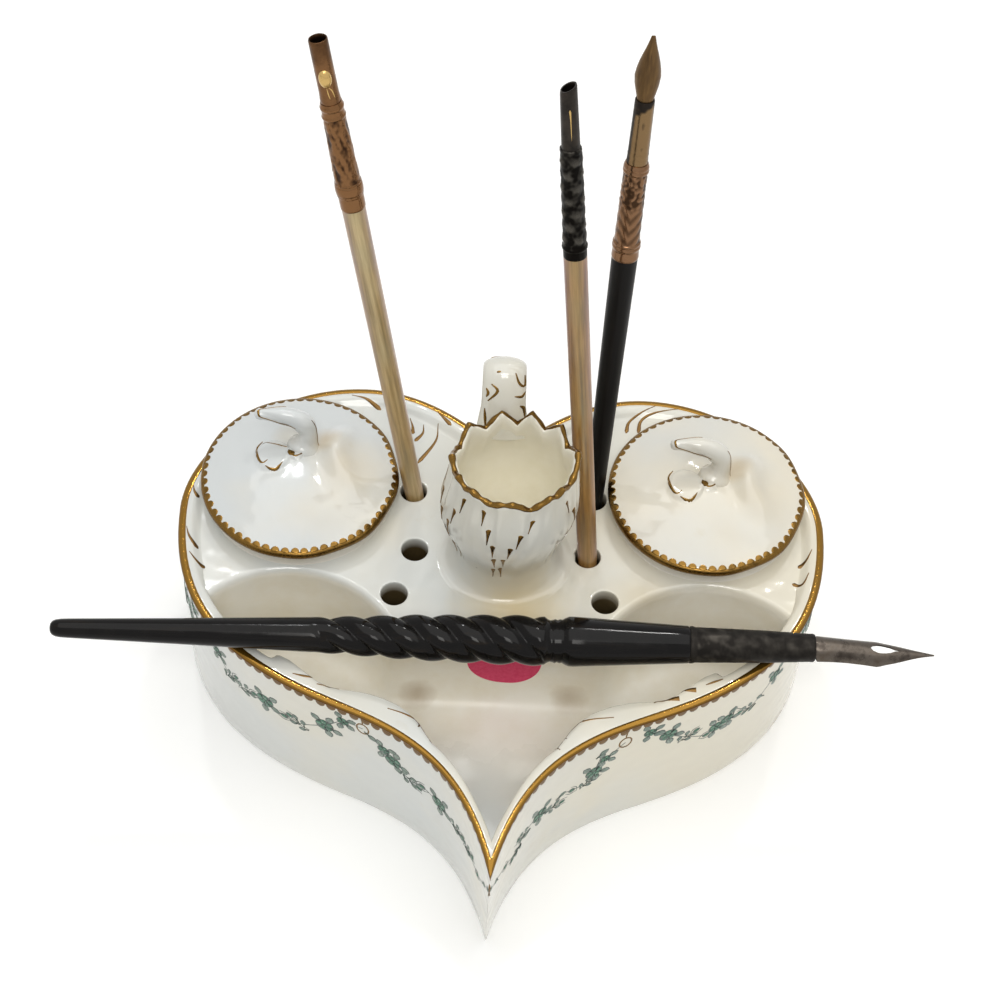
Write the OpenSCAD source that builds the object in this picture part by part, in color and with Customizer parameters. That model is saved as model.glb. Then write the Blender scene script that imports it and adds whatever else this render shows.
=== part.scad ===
// Heart-shaped porcelain desk inkstand with a taper cup, two lidded ink wells, six pen holes and four pens.
// Millimetres. +Z up, origin on the table midway between the two ink wells, -Y towards the tip of the heart.

/* [Heart body] */
// Width over the two lobes of the heart
heart_w = 165; // [160:1:175]
// Height of the rim above the table
rim_h = 47; // [46:0.5:50]
// Thickness of the cast wall
wall_t = 4; // [3:0.25:4.5]
// How far in the foot sits from the rim along the front flanks
front_flare = 1.2; // [0:0.1:1.5]
// How far the foot stands out below the rim beside the wells
side_belly = 1; // [0:0.1:1.5]

/* [Deck and tray] */
// Height of the deck's top face
deck_z = 45.2; // [44:0.1:45.6]
// Thickness of the deck slab
deck_t = 4; // [3:0.25:5]
// Height of the pen tray's floor
tray_z = 12; // [10:0.5:16]
// Radius of the two scoops in the deck's front edge
scoop_r = 28.5; // [27:0.25:29]
// Thickness of the upright wall behind the tray
riser_t = 3.5; // [2.5:0.25:3.5]
// Radius of a pen hole
pen_hole_r = 3.4; // [3.3:0.05:3.6]

/* [Ink wells and lids] */
// Distance of each well from the middle
well_x = 52.6; // [52:0.1:53.5]
// Inner radius of a well
well_r = 19.8; // [18:0.1:20]
// Inside floor of a well above the table
well_floor_z = 17; // [14:0.5:24]
// Radius of a lid
lid_r = 25.4; // [24.8:0.1:25.4]
// Rise of the lid's low dome
lid_rise = 5.6; // [4:0.1:8]
// Gap between a lid's locating ring and its well
lid_gap = 0.9; // [0.7:0.05:1.2]

/* [Taper cup] */
// Height of the cup's mouth above the table
cup_top_z = 87; // [80:0.5:90]
// Half width of the oval mouth
cup_mouth_r = 15; // [14.5:0.1:16]
// Front-to-back size of the cup over its width
cup_oval = 0.91; // [0.88:0.01:1]
// Number of petals on the rim
petal_n = 11; // [8:1:14]
// Height of each petal
petal_h = 3.6; // [0:0.1:4]

/* [Pens] */
// Radius of the three standing shafts where they pass the deck
shaft_r = 2.5; // [2.2:0.05:2.55]
// Largest radius of the rope-turned holder
rope_r = 6.2; // [5:0.1:6.2]
// Strands in the rope turning
rope_strands = 3; // [2:1:5]

/* [Hidden] */

half_w = heart_w / 2;
notch_y = 12.8;
lobe_y = 32.7;
side_y = -8.2;
flank_y = -66.3;
tip_y = -109.3;
// Right half of the rim outline, from the notch at the back to the tip, as four curves
HEART = [
  [[0.7, notch_y], [5.4, 18.2], [19.4, lobe_y], [37.4, lobe_y]],
  [[37.4, lobe_y], [62.2, lobe_y], [half_w, 10.8], [half_w, side_y]],
  [[half_w, side_y], [half_w, -42], [63.1, -56.2], [37.8, flank_y]],
  [[37.8, flank_y], [16.7, -74.7], [6.2, -84.7], [0, tip_y]]
];
outline_steps = 11;
tip_half_angle = 14.1;

riser_y = -40.5;
scoop_y = -54.5;
well_wall_t = 2;
collar_r = 23.6;
collar_h = 4.2;
lid_z = deck_z + collar_h + 0.1;
lid_edge_h = 1.8;
lid_ring_h = 2.5;
panel_t = 5;

// Centres of the pen holes on the deck: three held pens, then three that are free
pearl_hole = [-23.3, 0.8];
ebony_hole = [23.6, 0.5];
silver_hole = [22.1, -17.8];
FREE_HOLES = [[-22.1, -17.8], [-26.6, -31.6], [26.6, -31.6]];
HOLES = concat([pearl_hole, ebony_hole, silver_hole], FREE_HOLES);

// Lean of each standing pen from upright, and the compass direction of its top from +X
pearl_lean = [13.5, 134.3];
silver_lean = [14, 113];
ebony_lean = [12.8, 82];
end_clear = 0.8;

cup_at = [0.8, -19];
cup_wall = 2.2;
cup_floor_z = 50;
handle_x = -1.2;

rope_at = [-48, 51.3];
rope_tail_x = -109;
rope_end_x = 47;

// ---- helpers ----

function bezier(p, t) =
  pow(1 - t, 3) * p[0] + 3 * t * pow(1 - t, 2) * p[1] + 3 * t * t * (1 - t) * p[2] + pow(t, 3) * p[3];
function bezier_slope(p, t) =
  3 * pow(1 - t, 2) * (p[1] - p[0]) + 6 * t * (1 - t) * (p[2] - p[1]) + 3 * t * t * (p[3] - p[2]);
function unit(v) = v / norm(v);
function blend(a, b, t) = a + (b - a) * t;
function clamp01(t) = max(0, min(1, t));
function smooth(t) = let(c = clamp01(t)) c * c * (3 - 2 * c);

// Outward direction of the outline where it travels along the slope v
function outward(v) = let(u = unit(v)) [-u[1], u[0]];
// The rim outline's right half without its tip: each entry is [point, outward direction]
HALF = [for (arc = HEART) for (i = [0 : outline_steps - 1])
  let(t = i / outline_steps) [bezier(arc, t), outward(bezier_slope(arc, t))]];
// Share of the front flank's shape at y: 0 beside the wells, 1 at the front
function flank_share(y) = smooth((side_y - y) / (side_y - flank_y));
function foot_inset(y) = blend(-side_belly, front_flare, flank_share(y));

function mirrored(half, tip) =
  concat(half, [tip], [for (i = [len(half) - 1 : -1 : 0]) [-half[i][0], half[i][1]]]);
// Outer outline at the share s of the way down from the rim, set in by a further e
function outer_ring(s, e) = mirrored(
  [for (h = HALF) h[0] - h[1] * (foot_inset(h[0][1]) * s + e)],
  [0, tip_y + (front_flare * s + e) / sin(tip_half_angle)]);
// Inner outline: the rim outline set in by the wall, up to where its two sides meet on the centre line,
// with its corners shared out so that it has as many as the outer one
INSET = [for (h = HALF) let(p = h[0] - h[1] * wall_t) if (p[0] > 0.4) p];
inner_last = INSET[len(INSET) - 1];
inner_tip = [0, inner_last[1] - inner_last[0] / tan(tip_half_angle + 3)];
function along(points, t) = let(i = min(floor(t), len(points) - 2)) blend(points[i], points[i + 1], t - i);
INNER = mirrored(
  [for (i = [0 : len(HALF) - 1]) along(concat(INSET, [inner_tip]), i * len(INSET) / len(HALF))], inner_tip);

// Triangles between ring a and ring b of n points each, given clockwise seen from above
function band(n, a, b) = [for (i = [0 : n - 1]) each let(j = (i + 1) % n)
  [[a * n + i, a * n + j, b * n + j], [a * n + i, b * n + j, b * n + i]]];
function ring_points(rings) = [for (r = rings) for (p = r) p];

// Solid between rings given from bottom to top, with its two ends closed
module stacked(rings) {
  n = len(rings[0]);
  last = len(rings) - 1;
  polyhedron(ring_points(rings), concat(
    [for (k = [0 : last - 1]) each band(n, k, k + 1)],
    [[for (i = [n - 1 : -1 : 0]) i], [for (i = [0 : n - 1]) last * n + i]]), convexity = 8);
}

// Hollow wall: its rings run up the outside and down the inside, and the last meets the first
module looped(rings) {
  n = len(rings[0]);
  polyhedron(ring_points(rings),
    [for (k = [0 : len(rings) - 1]) each band(n, k, (k + 1) % len(rings))], convexity = 8);
}

// Oval tube along path; wide lies along the side direction and deep across it
module swept(path, wide, deep, side, n = 14) {
  last = len(path) - 1;
  stacked([for (i = [0 : last])
    let(along = unit(path[min(i + 1, last)] - path[max(i - 1, 0)]),
      across = unit(cross(along, side)),
      level = cross(across, along))
    [for (j = [0 : n - 1]) let(a = -360 * j / n)
      path[i] + level * wide[i] * cos(a) + across * deep[i] * sin(a)]]);
}

// Puts a standing pen's own axis, with z = 0 at the deck's top, through its hole
module standing(hole, lean) {
  translate([hole[0], hole[1], deck_z])
    rotate([0, 0, lean[1]])
      rotate([0, lean[0], 0])
        children();
}
// Lowest station of a standing pen, where its rounded end meets the underside panel
function foot_station(lean) = -(deck_z - panel_t - end_clear) / cos(lean[0]);

// Round piece from a list of [station, radius]
module turned(profile) {
  last = len(profile) - 1;
  rotate_extrude($fn = 40)
    polygon(concat([[0, profile[0][0]]], [for (p = profile) [p[1], p[0]]], [[0, profile[last][0]]]));
}

module tray_space(grow) {
  for (side = [-1, 1])
    translate([side * (well_x - 0.1), scoop_y, 0])
      cylinder(r = scoop_r + grow, h = rim_h, $fn = 72);
  translate([-heart_w, -heart_w + riser_y + grow, 0])
    cube([2 * heart_w, heart_w, rim_h]);
}

module inner_slab(z, t) {
  translate([0, 0, z]) linear_extrude(t) polygon(INNER);
}

// ---- porcelain body ----

module heart_wall() {
  levels = [[0, 0.7], [1.2, 0], [12, 0], [24, 0], [36, 0], [rim_h - 1.2, 0], [rim_h - 0.3, 0.4], [rim_h, 1]];
  color("#ECE6D9") looped(concat(
    [for (l = levels) [for (p = outer_ring(1 - l[0] / rim_h, l[1])) [p[0], p[1], l[0]]]],
    [for (z = [rim_h, 0]) [for (p = INNER) [p[0], p[1], z]]]));
}

// The deck was cast in five sections: the middle with the pen holes, and a wing in front of each well
// and one behind it. They part where the well comes nearest to the wall, at the shoulder
wing_x = 34;
shoulder_x = 66.4;
far = 100;
module deck_section() {
  color("#EEE9DD") difference() {
    intersection() {
      inner_slab(deck_z - deck_t, deck_t);
      union() children();
    }
    tray_space(0);
    for (side = [-1, 1])
      translate([side * well_x, 0, 0]) cylinder(r = well_r + well_wall_t + 0.2, h = rim_h, $fn = 96);
    for (h = HOLES) translate([h[0], h[1], 0]) cylinder(r = pen_hole_r, h = rim_h, $fn = 48);
  }
}
module wing_block(side, from, size) {
  translate([side > 0 ? from[0] : -from[0] - size[0], from[1], 0]) cube([size[0], size[1], rim_h]);
}
module deck() { deck_section() translate([-wing_x, -far, 0]) cube([2 * wing_x, 2 * far, rim_h]); }
module front_wing(side) {
  deck_section() {
    wing_block(side, [wing_x, -far], [far, far]);
    wing_block(side, [shoulder_x, -far], [far, 2 * far]);
  }
}
module back_wing(side) { deck_section() wing_block(side, [wing_x, 0], [shoulder_x - wing_x, far]); }

module riser() {
  color("#E9E2D3") difference() {
    intersection() {
      inner_slab(tray_z, deck_z - deck_t - tray_z);
      tray_space(riser_t);
    }
    tray_space(0);
  }
}

module tray_floor() {
  color("#E9E2D3") intersection() {
    inner_slab(tray_z - deck_t, deck_t);
    tray_space(riser_t);
  }
}

module underside_panel() {
  color("#E4DED0") inner_slab(0, panel_t);
}

module ink_well(side) {
  // Its collar is cut off where it meets the outer wall
  color("#F0EBDF") intersection() {
    translate([side * well_x, 0, 0]) rotate_extrude($fn = 96) polygon([
      [0, well_floor_z - 3], [well_r + well_wall_t, well_floor_z - 3], [well_r + well_wall_t, deck_z],
      [collar_r, deck_z], [collar_r, deck_z + collar_h], [well_r, deck_z + collar_h],
      [well_r, well_floor_z], [0, well_floor_z]]);
    inner_slab(0, deck_z + collar_h + 1);
  }
}
module left_ink_well() { ink_well(-1); }
module right_ink_well() { ink_well(1); }

// Profile of the cup: [height, half width], outside from the deck to the mouth
CUP_OUTSIDE = [[deck_z, 16.2], [deck_z + 1.2, 15.4], [48.5, 13.4], [52, 12.6], [56, 13.2], [61, 14.9],
  [66, 16.4], [71, 16.9], [75, 16.5], [79, 15.8], [82, cup_mouth_r + 0.4], [cup_top_z, cup_mouth_r + 0.3]];
// The cup was thrown a little crooked: its mouth leans over to the right
mouth_lean = 1.2;
function cup_ring(z, r, petals, n = 66) = [for (j = [0 : n - 1])
  let(a = -360 * j / n, wave = pow(abs(cos(a * petal_n / 2)), 0.7))
  [cup_at[0] + mouth_lean * smooth((z - 60) / 25) + (r + petals * 0.5 * wave) * cos(a),
   cup_at[1] + (r + petals * 0.5 * wave) * cup_oval * sin(a),
   z + petals * petal_h * (wave - 1)]];

function cup_outside() = [for (p = CUP_OUTSIDE) cup_ring(p[0], p[1], smooth((p[0] - 76) / (cup_top_z - 76)))];

module taper_cup() {
  // The inside runs back down from the mouth to the cup's floor
  inside = [for (i = [len(CUP_OUTSIDE) - 1 : -1 : 4]) let(p = CUP_OUTSIDE[i])
    cup_ring(p[0] - 0.2, p[1] - cup_wall, smooth((p[0] - 76) / (cup_top_z - 76)))];
  color("#EFE8DA") stacked(concat(cup_outside(), inside,
    [cup_ring(cup_floor_z + 1.5, 8, 0), cup_ring(cup_floor_z, 5, 0)]));
}

module cup_handle() {
  strap = [[-5, 78], [4, 110], [13, 88], [7.3, deck_z]];
  steps = 14;
  path = [for (i = [0 : steps]) let(p = bezier(strap, i / steps)) [handle_x, p[0], p[1]]];
  color("#EFE8DA") difference() {
    swept(path, [for (i = [0 : steps]) 5.5 - 0.2 * sin(180 * i / steps)],
      [for (i = [0 : steps]) 2.3 - 0.5 * sin(180 * i / steps)], [1, 0, 0]);
    stacked(cup_outside());
    translate([-20, -20, deck_z - 10]) cube([40, 60, 10]);
  }
}

module blank_paper_dot() {
  color("#E7B7AE") translate([2, riser_y, 29]) rotate([90, 0, 0]) cylinder(r = 9.5, h = 0.15, $fn = 64);
}

// ---- lids ----

function dome_z(r) = lid_z + lid_edge_h + lid_rise * (1 - pow(r / lid_r, 2));
module lid_solid() {
  ring_r = well_r - lid_gap;
  shell = 2.6;
  rotate_extrude($fn = 96) polygon(concat(
    [[0, dome_z(0) - shell], [ring_r - 2, dome_z(ring_r - 2) - shell], [ring_r - 2, lid_z - lid_ring_h],
     [ring_r, lid_z - lid_ring_h], [ring_r, lid_z], [lid_r - 0.4, lid_z], [lid_r, lid_z + 0.4]],
    [for (i = [0 : 10]) let(r = lid_r * (1 - i / 10)) [r, dome_z(r)]]));
}
module lid(side) { color("#EDE8DC") translate([side * well_x, 0, 0]) lid_solid(); }
module left_lid() { lid(-1); }
module right_lid() { lid(1); }

// Horn-shaped scroll: it grows out of the dome and curls over to a blunt tip at the left. The right
// lid's scroll was set nearer to the writer
module lid_knob(side) {
  set = side > 0 ? [0.9, -4.2, lid_z] : [0, 0, lid_z];
  crook = [[0.4, 5.2, 4], [4.2, 6.8, 14.5], [0.5, 8.2, 16.2], [-10.6, 7.6, 16.6]];
  steps = 12;
  wide = [for (i = [0 : steps]) let(t = i / steps) blend(3, 1.5, pow(t, 1.5))];
  color("#EFE9DC") translate([side * well_x, 0, 0]) difference() {
    swept([for (i = [0 : steps]) set + bezier(crook, i / steps)], wide, [for (w = wide) 0.85 * w], [0, 1, 0]);
    rotate_extrude($fn = 96) polygon(concat([[0, 0], [lid_r, 0]],
      [for (i = [0 : 10]) let(r = lid_r * (1 - i / 10)) [r, dome_z(r)]]));
  }
}
module left_lid_knob() { lid_knob(-1); }
module right_lid_knob() { lid_knob(1); }

// ---- pens ----

// Nib of curved sheet along +z, its crown towards +x: heel is the part inside the ferrule
module nib(heel, heel_r, length, shoulder_at, shoulder_w, droop = 0) {
  t = 0.35;
  n = 8;
  // [station, half width over radius as an angle, radius of curvature]
  stations = [
    [-heel, 100, heel_r], [0, 100, heel_r], [shoulder_at * 0.12, 98, blend(heel_r, shoulder_w, 0.8)],
    [shoulder_at * 0.6, 92, shoulder_w * 0.96], [shoulder_at, 88, shoulder_w],
    [blend(shoulder_at, length, 0.32), 82, shoulder_w * 0.74], [blend(shoulder_at, length, 0.7), 72, shoulder_w * 0.36],
    [length, 50, 0.4]];
  stacked([for (s = stations) let(rest = heel_r - droop * pow(max(0, s[0]) / length, 1.2)) concat(
    [for (j = [0 : n]) let(a = s[1] * (1 - 2 * j / n)) [rest - s[2] + s[2] * cos(a), s[2] * sin(a), s[0]]],
    [for (j = [n : -1 : 0]) let(a = s[1] * (1 - 2 * j / n), r = s[2] - min(t, s[2] * 0.7))
      [rest - s[2] + r * cos(a), r * sin(a), s[0]]])]);
}

pearl_ferrule_s = 91.5;
pearl_tube_s = 120.6;
pearl_top_s = 136.6;
module pearl_pen_shaft() {
  foot = foot_station(pearl_lean);
  color("#CDB68C") standing(pearl_hole, pearl_lean)
    turned([[foot, 1.2], [foot + 0.8, 2], [-deck_t - 0.6, shaft_r - 0.3], [0, shaft_r], [pearl_ferrule_s, 2.8]]);
}
module pearl_pen_ferrule() {
  s = pearl_ferrule_s;
  color("#7B5A35") standing(pearl_hole, pearl_lean) turned([[s, 2.9], [s + 4, 2.95], [s + 4.6, 3.25],
    [s + 6.6, 3.25], [s + 7.2, 2.98], [s + 25, 2.55], [s + 25.6, 2.75], [s + 26.4, 2.55], [s + 28.2, 2.7],
    [pearl_tube_s, 2.4]]);
}
module pearl_pen_tube() {
  bore = 1.8;
  color("#6B4E30") standing(pearl_hole, pearl_lean) rotate_extrude($fn = 40) polygon([
    [0, pearl_tube_s], [2.3, pearl_tube_s], [2.2, pearl_top_s], [bore, pearl_top_s],
    [bore, pearl_top_s - 12], [0, pearl_top_s - 12]]);
}
module pearl_pen_stud() {
  color("#B98A45") standing(pearl_hole, pearl_lean) rotate([0, 0, 150]) translate([2.25, 0, 126.5]) difference() {
    rotate([0, 90, 0]) cylinder(r1 = 1.9, r2 = 1, h = 1.1, $fn = 32);
    translate([-2.25, 0, -4]) cylinder(r = 2.27, h = 8, $fn = 40);
  }
}

silver_barrel_s = 92.5;
silver_tube_s = 121.2;
silver_top_s = 137;
module silver_pen_shaft() {
  foot = foot_station(silver_lean);
  color("#CDB68C") standing(silver_hole, silver_lean)
    turned([[foot, 1.2], [foot + 0.8, 2], [-deck_t - 0.6, shaft_r - 0.3], [0, shaft_r], [silver_barrel_s, 2.72]]);
}
module silver_pen_barrel() {
  s = silver_barrel_s;
  color("#3B3833") standing(silver_hole, silver_lean) turned([[s, 2.8], [s + 2.2, 2.8], [s + 2.6, 3], [s + 3.4, 3],
    [s + 3.8, 2.75], [s + 10, 2.65], [s + 24, 2.6], [silver_tube_s, 2.45]]);
}
module silver_pen_tube() {
  bore = 1.5;
  color("#2E2B28") standing(silver_hole, silver_lean) difference() {
    rotate_extrude($fn = 40) polygon([[0, silver_tube_s], [2.1, silver_tube_s], [1.9, silver_top_s],
      [bore, silver_top_s], [bore, silver_top_s - 10], [0, silver_top_s - 10]]);
    rotate([0, 0, -silver_lean[1]]) translate([0, 0, silver_top_s - 0.6]) rotate([0, -20, 0])
      translate([-5, -5, 0]) cube([10, 10, 5]);
  }
}

ebony_barrel_s = 76.8;
ebony_sleeve_s = 103;
ebony_nib_s = 119.5;
ebony_nib_bore = 1.95;
ebony_nib_heel = 8;
module ebony_pen_shaft() {
  foot = foot_station(ebony_lean);
  color("#1C1A18") standing(ebony_hole, ebony_lean)
    turned([[foot, 1.2], [foot + 0.8, 2], [-deck_t - 0.6, shaft_r - 0.3], [0, shaft_r], [ebony_barrel_s, 3.15]]);
}
module ebony_pen_barrel() {
  s = ebony_barrel_s;
  color("#8C6B48") standing(ebony_hole, ebony_lean) turned([[s, 3.2], [s + 2.6, 3.1], [s + 3, 3.3], [s + 4.4, 3.3],
    [s + 4.8, 3], [s + 23.6, 2.8], [s + 24.2, 3], [s + 25, 3], [ebony_sleeve_s, 2.6]]);
}
module ebony_pen_sleeve() {
  color("#2B2622") standing(ebony_hole, ebony_lean) rotate_extrude($fn = 40) polygon([
    [0, ebony_sleeve_s], [2.45, ebony_sleeve_s], [2.3, ebony_nib_s], [ebony_nib_bore, ebony_nib_s],
    [ebony_nib_bore, ebony_nib_s - ebony_nib_heel - 1], [0, ebony_nib_s - ebony_nib_heel - 1]]);
}
module ebony_pen_nib() {
  color("#9C7738") standing(ebony_hole, ebony_lean) rotate([0, 0, -ebony_lean[1] - 110])
    translate([0, 0, ebony_nib_s]) nib(ebony_nib_heel, ebony_nib_bore - 0.08, 16.8, 5.5, 2.95);
}

// The carved holder lies across the rim, turned a little from +X
rope_yaw = 1;
rope_from_x = -46;
rope_to_x = 12;
rope_waist_x = 14.5;
rope_ferrule_x = 47;
rope_nib_x = 77.7;
rope_nib_bore = 2.75;
rope_nib_heel = 8;
module lying() { translate([0, rope_at[0], rope_at[1]]) rotate([0, 90, rope_yaw]) children(); }
// Mean radius of the holder at x
function rope_profile(x) =
  x < rope_from_x ? blend(2.4, 4.3, (x - rope_tail_x) / (rope_from_x - rope_tail_x))
  : x < rope_to_x ? blend(4.3, rope_r, pow(sin(90 * (x - rope_from_x) / (rope_to_x - rope_from_x)), 0.8))
  : x < rope_waist_x + 1 ? 5.2
  : blend(6.1, 4.6, (x - rope_waist_x - 1) / (rope_end_x - rope_waist_x - 1));
rope_pitch = 25;
module rope_pen_holder() {
  n = 30;
  step = 1.2;
  xs = concat([rope_tail_x, rope_tail_x + 0.6], [for (x = [rope_tail_x + 9 : 9 : rope_from_x - 1]) x],
    [for (x = [rope_from_x : step : rope_to_x]) x],
    [rope_to_x + 0.8, rope_waist_x - 1, rope_waist_x, rope_waist_x + 1, rope_waist_x + 2, 30, 40, rope_end_x]);
  color("#2A2624") lying() stacked([for (x = xs)
    let(cut = smooth((x - rope_from_x) / 6) * smooth((rope_to_x + 0.8 - x) / 3),
      r = rope_profile(x) * (x == rope_tail_x ? 0.7 : 1))
    [for (j = [0 : n - 1]) let(a = -360 * j / n,
        groove = pow(abs(cos(rope_strands * (a - 360 * x / rope_pitch) / 2)), 4),
        q = r * (1 - 0.16 * cut * groove))
      [q * cos(a), q * sin(a), x]]]);
}
module rope_pen_ferrule() {
  gap = 0.02;
  color("#4A4744") lying() rotate_extrude($fn = 48) polygon([
    [0, rope_ferrule_x + gap], [4.5, rope_ferrule_x + gap], [4.55, rope_ferrule_x + 2], [4, 66],
    [3.3, rope_nib_x], [rope_nib_bore, rope_nib_x], [rope_nib_bore, rope_nib_x - rope_nib_heel - 1],
    [0, rope_nib_x - rope_nib_heel - 1]]);
}
module rope_pen_nib() {
  color("#B9BBBD") lying() translate([0, 0, rope_nib_x]) rotate([0, 0, 180])
    nib(rope_nib_heel, rope_nib_bore - 0.08, 30, 15.5, 3.4, 4.6);
}

heart_wall();
deck();
front_wing(-1);  // left_front_wing
back_wing(-1);  // left_back_wing
front_wing(1);  // right_front_wing
back_wing(1);  // right_back_wing
riser();
tray_floor();
underside_panel();
left_ink_well();
right_ink_well();
taper_cup();
cup_handle();
blank_paper_dot();
left_lid();
left_lid_knob();
right_lid();
right_lid_knob();
pearl_pen_shaft();
pearl_pen_ferrule();
pearl_pen_tube();
pearl_pen_stud();
silver_pen_shaft();
silver_pen_barrel();
silver_pen_tube();
ebony_pen_shaft();
ebony_pen_barrel();
ebony_pen_sleeve();
ebony_pen_nib();
rope_pen_holder();
rope_pen_ferrule();
rope_pen_nib();
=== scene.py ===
import math
import random

import bmesh
import bpy
from mathutils import Matrix, Vector, noise
from mathutils.bvhtree import BVHTree
from mathutils.kdtree import KDTree


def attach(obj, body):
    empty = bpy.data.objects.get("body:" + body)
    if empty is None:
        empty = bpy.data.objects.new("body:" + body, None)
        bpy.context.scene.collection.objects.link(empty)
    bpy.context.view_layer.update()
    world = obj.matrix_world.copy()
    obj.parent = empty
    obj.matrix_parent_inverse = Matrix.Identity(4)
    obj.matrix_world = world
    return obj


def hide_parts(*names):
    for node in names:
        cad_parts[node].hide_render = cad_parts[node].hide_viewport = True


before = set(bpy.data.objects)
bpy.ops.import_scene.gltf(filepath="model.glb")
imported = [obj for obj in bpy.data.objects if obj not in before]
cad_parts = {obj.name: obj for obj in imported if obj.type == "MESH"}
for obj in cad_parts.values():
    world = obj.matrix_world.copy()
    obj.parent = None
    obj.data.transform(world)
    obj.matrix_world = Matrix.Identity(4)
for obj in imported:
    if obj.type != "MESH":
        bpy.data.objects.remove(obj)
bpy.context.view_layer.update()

MM = 0.001

# ---------------------------------------------------------------------------------------------
# Heart-shaped body. A slip-cast box of hard porcelain with an upright wall, whose lip is rounded
# and swells into two scrolls on each side of the pen tray. The deck, its scooped front, the tray
# floor and the flat base were cast as one piece and luted inside the wall before the glaze fire.

HEART_ARCS = [
    [(0.7, 12.8), (5.4, 18.2), (19.4, 32.7), (37.4, 32.7)],
    [(37.4, 32.7), (62.2, 32.7), (82.5, 10.8), (82.5, -8.2)],
    [(82.5, -8.2), (82.5, -42), (63.1, -56.2), (37.8, -66.3)],
    [(37.8, -66.3), (16.7, -74.7), (6.2, -84.7), (0, -109.3)],
]
ARC_STEPS = 28
RIM_Z = 47
WALL_T = 4
# joints between the wall and what it holds are hidden at this share of its thickness
HIDDEN = 0.72
TIP_HALF_ANGLE = math.radians(14.1)
FRONT_FLARE = 1.2
SIDE_BELLY = 1
DECK_Z = 45.2
TRAY_Z = 12
SCOOP_X, SCOOP_Y, SCOOP_R = 52.5, -54.5, 28.5
RISER_Y = -40.5
CORNER_R = 3.2
PEN_HOLE_R = 3.4
PEN_HOLES = [(-23.3, 0.8), (23.6, 0.5), (22.1, -17.8), (-22.1, -17.8), (-26.6, -31.6), (26.6, -31.6)]
HOLE_FLOOR_Z = 14
PANEL_TOP_Z = 5.8
BASE_Z = 0.15
WELL_X = 52.6
WELL_HOLE_R = 21.1
# the glaze rounds the mouth of each opening: distance outside it, height
OPENING_ROUND = [(0.35, DECK_Z), (0.2, DECK_Z - 0.04), (0.06, DECK_Z - 0.2), (0, DECK_Z - 0.55), (0, DECK_Z - 4)]
WELL_FOOT_Z = 13.6
# the two scrolls on each side of the lip: where one starts and ends in x, its height
SCROLLS = [(52, 35.5, 3.0), (38, 12.5, 2.9)]
# how the lip goes down into the tray: share of the wall's thickness, height, share of the scrolls
LIP_IN_TRAY = [
    (0.62, 46.93, 0.2), (0.8, 46.8, 0.6), (0.93, 46.35, 0.95), (1.0, 45.5, 1.0), (1.02, 44.3, 0.95),
    (1.02, 42.5, 0.7), (1.0, 39.5, 0.3), (1.0, 36, 0.05), (1.0, 28, 0), (1.0, 18, 0),
]
# how it goes down to the deck beside the wells
LIP_AT_DECK = [
    (0.58, 46.92), (0.72, 46.76), (0.84, 46.48), (0.95, 46.12), (1.06, 45.76), (1.17, 45.46), (1.28, 45.26),
    (1.38, 45.16), (1.38, 44.6), (1.2, 44.2),
]
# the glaze pooled where the wall meets the tray floor: distance in from the wall, height
POOL = [(0.0, 16.5), (0.15, 14.8), (0.6, 13.5), (1.5, 12.5), (2.8, 12.06), (3.4, 11.9), (3.4, 11)]
# the deck's front edge and the riser under it: distance behind the edge, height
NOSE = [
    (1.9, DECK_Z), (1.6, DECK_Z), (1.3, DECK_Z - 0.1), (0.85, DECK_Z - 0.4), (0.42, DECK_Z - 0.95),
    (0.12, DECK_Z - 1.8), (0, DECK_Z - 3), (0, 36), (0, 28), (0, 21), (-0.2, 18.2), (-0.8, 15.8),
    (-1.9, 13.9), (-3.5, 12.7), (-5.4, 12.15), (-7.2, TRAY_Z), (-8.2, TRAY_Z),
]


def blend(a, b, t):
    return a + (b - a) * t


def smooth(t):
    t = max(0.0, min(1.0, t))
    return t * t * (3 - 2 * t)


def bezier(points, t):
    a, b, c, d = (Vector(p) for p in points)
    return a * (1 - t) ** 3 + b * 3 * t * (1 - t) ** 2 + c * 3 * t * t * (1 - t) + d * t ** 3


def slope(points, t):
    a, b, c, d = (Vector(p) for p in points)
    return ((b - a) * (1 - t) ** 2 + (c - b) * 2 * t * (1 - t) + (d - c) * t * t).normalized()


def along(points, t):
    """Value at place t of a list, between its two neighbours."""
    i = min(int(t), len(points) - 2)
    return blend(points[i], points[i + 1], t - i)


def mirrored(half, tip):
    """Closed outline from its right half, the tip and the left half."""
    return half + [tip] + [Vector((-p.x, p.y)) for p in reversed(half)]


def turns(count):
    """Angles spread evenly round a circle."""
    return [2 * math.pi * j / count for j in range(count)]


def polar(r, a, z=0.0):
    return Vector((r * math.cos(a), r * math.sin(a), z))


HALF = []
for arc in HEART_ARCS:
    for i in range(ARC_STEPS):
        u = slope(arc, i / ARC_STEPS)
        HALF.append((bezier(arc, i / ARC_STEPS), Vector((-u.y, u.x))))


def belly(y):
    """How much further in the wall's foot stands than its rim at y: less than 0 at the sides."""
    front = smooth((HEART_ARCS[2][0][1] - y) / (HEART_ARCS[2][0][1] - HEART_ARCS[3][0][1]))
    return blend(-SIDE_BELLY, FRONT_FLARE, front)


def outline(z, inset=0.0):
    """The outer outline at height z, clockwise from the notch, set in by inset."""
    share = 1 - z / RIM_Z
    half = [p - out * (belly(p.y) * share + inset) for p, out in HALF]
    tip = Vector((0, HEART_ARCS[3][3][1] + (FRONT_FLARE * share + inset) / math.sin(TIP_HALF_ANGLE)))
    half = [p if p.x > 0 else tip for p in half]
    return mirrored(half, tip)


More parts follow.
